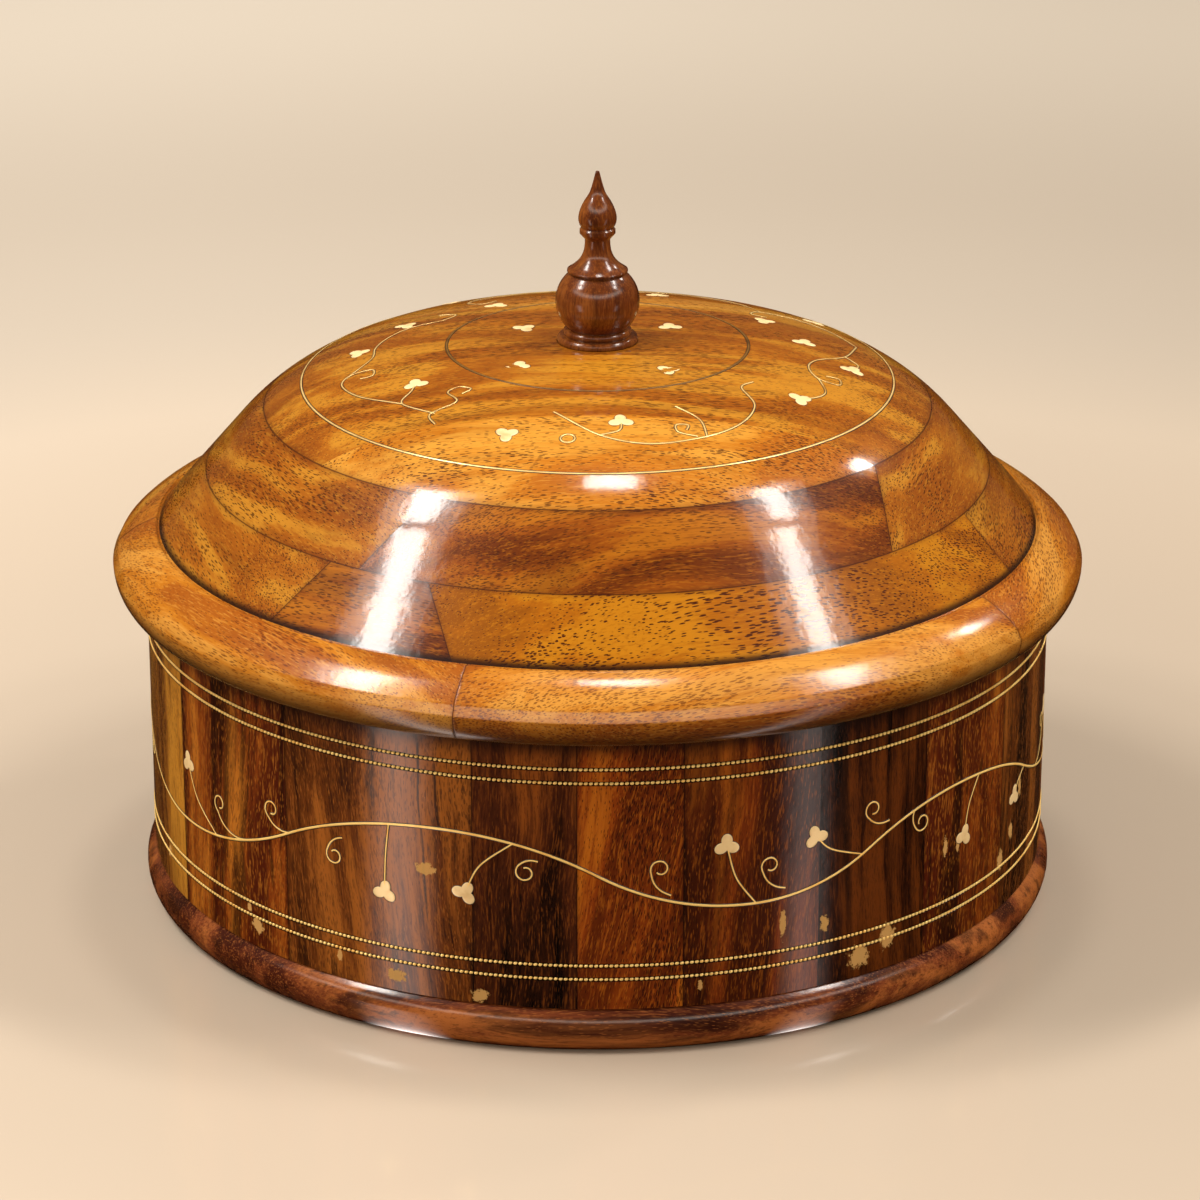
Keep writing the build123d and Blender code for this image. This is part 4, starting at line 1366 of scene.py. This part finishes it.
def floor_material():
    """A pale table top, lightest far off, and what the lacquer mirrors of it."""
    material, tree, shader, position = new_material("floor")
    away = vector_maths(tree, "LENGTH", position)
    parts = add_node(tree, "ShaderNodeSeparateXYZ", {0: position}).outputs
    mirrored = add_node(tree, "ShaderNodeLightPath").outputs["Is Glossy Ray"]
    colour = mix_colour(tree, ramp(tree, away, *NEAR_ENDS), FLOOR_NEAR, FLOOR_BEHIND)
    colour = mix_colour(tree, ramp(tree, away, *FAR_BEGINS), colour, FLOOR_FAR)
    colour = mix_colour(tree, mirrored, colour, FLOOR_MIRRORED)
    # Painted light: the floor's colour is lighter on the left, where daylight would fall
    daylight = mix_colour(tree, ramp(tree, parts["X"], *DAYLIGHT_FADES), FLOOR_LEFT, FLOOR_RIGHT)
    colour = mix_colour(tree, 1.0, colour, daylight, "MULTIPLY")
    # The painted gleams glow for glossy rays only
    gleam = maths(tree, "MULTIPLY", gleams(tree, parts["X"], parts["Y"]), mirrored)
    seen = maths(tree, "SUBTRACT", 1.0, mirrored)
    seen = maths(tree, "MULTIPLY", seen, ramp(tree, away, *POLISH_FADES, 1.0, 0.0))
    polish = maths(tree, "MULTIPLY", seen, FLOOR_POLISH)
    specular = maths(tree, "MULTIPLY", seen, FLOOR_SPECULAR)
    feed(tree, shader, {"Base Color": colour, "Emission Strength": gleam, "Emission Color": GLEAM_COLOUR})
    feed(tree, shader, {"Coat Weight": polish, "Specular IOR Level": specular})
    feed(tree, shader, {"Roughness": FLOOR_ROUGHNESS, "Coat Roughness": POLISH_ROUGHNESS})
    return material


floor_mesh.materials.append(floor_material())
print("gleams:", len(GLEAMS))

# %% [markdown]
# ## The light of the room
#
# Pale walls all round give an even light, which the World's background stands for. Lacquer
# would mirror that background as a milky film over everything, so a glossy ray gets a dark room
# instead, with one low band of windows in front. The band draws the thin bright line along the
# foot's bead and softens the rim's nose.

# %% World
WORLD_COLOUR = tint("#f1e8da")
WORLD_LIGHT = 0.84
WORLD_MIRRORED = 0.05
# A low band of windows in front: how high it stands, half its height and its brightness
BAND_RISE = 30
BAND_HALF = 7
BAND_LIGHT = 6
# Where the band fades towards the sides, as the Y of a direction
BAND_FADES = (0.1, -0.3)

world = bpy.data.worlds.new("studio")
bpy.context.scene.world = world
world.use_nodes = True
room = world.node_tree
mirrored = add_node(room, "ShaderNodeLightPath").outputs["Is Glossy Ray"]
way = vector_maths(room, "NORMALIZE", add_node(room, "ShaderNodeTexCoord").outputs["Object"])
way = add_node(room, "ShaderNodeSeparateXYZ", {0: way}).outputs
off_band = maths(room, "ABSOLUTE", maths(room, "SUBTRACT", way["Z"], sin(radians(BAND_RISE))))
band = ramp(room, off_band, 0.0, sin(radians(BAND_HALF)), BAND_LIGHT, 0.0)
band = maths(room, "MULTIPLY", band, ramp(room, way["Y"], *BAND_FADES))
shown = maths(room, "MULTIPLY", maths(room, "ADD", band, WORLD_MIRRORED), mirrored)
strength = maths(room, "ADD", shown, ramp(room, mirrored, 0.0, 1.0, WORLD_LIGHT, 0.0))
feed(room, room.nodes["Background"], {"Color": WORLD_COLOUR, "Strength": strength})
print("world light", WORLD_LIGHT, "and mirrored", WORLD_MIRRORED)

# %% [markdown]
# ## Windows and lamps
#
# Two tall windows, left and right and high up, make the long highlights that run down the dome.
# Each has two panes with a bar between, which breaks its highlight in two, and a wider and
# fainter glow behind. Two small lamps give the short highlights on the crown. A lamp's power is
# worked out from its brightness and size, so that a bigger pane is not a duller one.

# %% Lamps
BOX_MIDDLE = Vector((0, 0, 0.13))
LAMP_COLOUR = (1.0, 0.96, 0.9)


def lamp(name, place, long_way, long_side, short_side, radiance):
    """A soft lamp that faces the box, with its long side along long_way."""
    data = bpy.data.lights.new(name, "AREA")
    data.shape = "RECTANGLE"
    data.size = short_side
    data.size_y = long_side
    data.energy = radiance * pi * long_side * short_side
    data.color = LAMP_COLOUR
    made = add_object(name, data)
    back = (Vector(place) - BOX_MIDDLE).normalized()
    up = Vector(long_way)
    up = (up - back * up.dot(back)).normalized()
    made.location = place
    made.rotation_euler = Matrix((up.cross(back), up, back)).transposed().to_euler()


print("the lamps face a point at the height", round(BOX_MIDDLE.z, 3))

# %% The windows and the two small lamps
# Each pane: its name, how far it lies along the window from the middle, and its length
PANES = (("low", -0.265, 0.23), ("high", 0.165, 0.43))
# Each window: its name, middle and long way, its width and brightness, and those of its glow
WINDOWS = (
    ("window_left", (-0.885, -0.13, 1.34), (0.27, 0.46, 0.22), 0.2, 36, 0.46, 5),
    ("window_right", (0.89, -0.09, 1.33), (-0.28, 0.54, 0.22), 0.16, 31, 0.4, 4),
)
GLOW_LENGTH = 0.9
GLOW_BEHIND = 1.015
# Each small lamp: its name, place, side and brightness
SMALL_LAMPS = (("top", (0.058, 0.236, 1.61), 0.2, 38), ("side", (0.967, 0.687, 1.09), 0.13, 40))

for name, middle, long_way, width, bright, glow_width, glow_bright in WINDOWS:
    for pane, along, length in PANES:
        place = Vector(middle) + Vector(long_way).normalized() * along
        lamp(f"{name}_{pane}", place, long_way, length, width, bright)
    lamp(f"{name}_glow", Vector(middle) * GLOW_BEHIND, long_way, GLOW_LENGTH, glow_width, glow_bright)
for name, place, side, bright in SMALL_LAMPS:
    lamp(name, place, (0, 1, 0), side, side, bright)
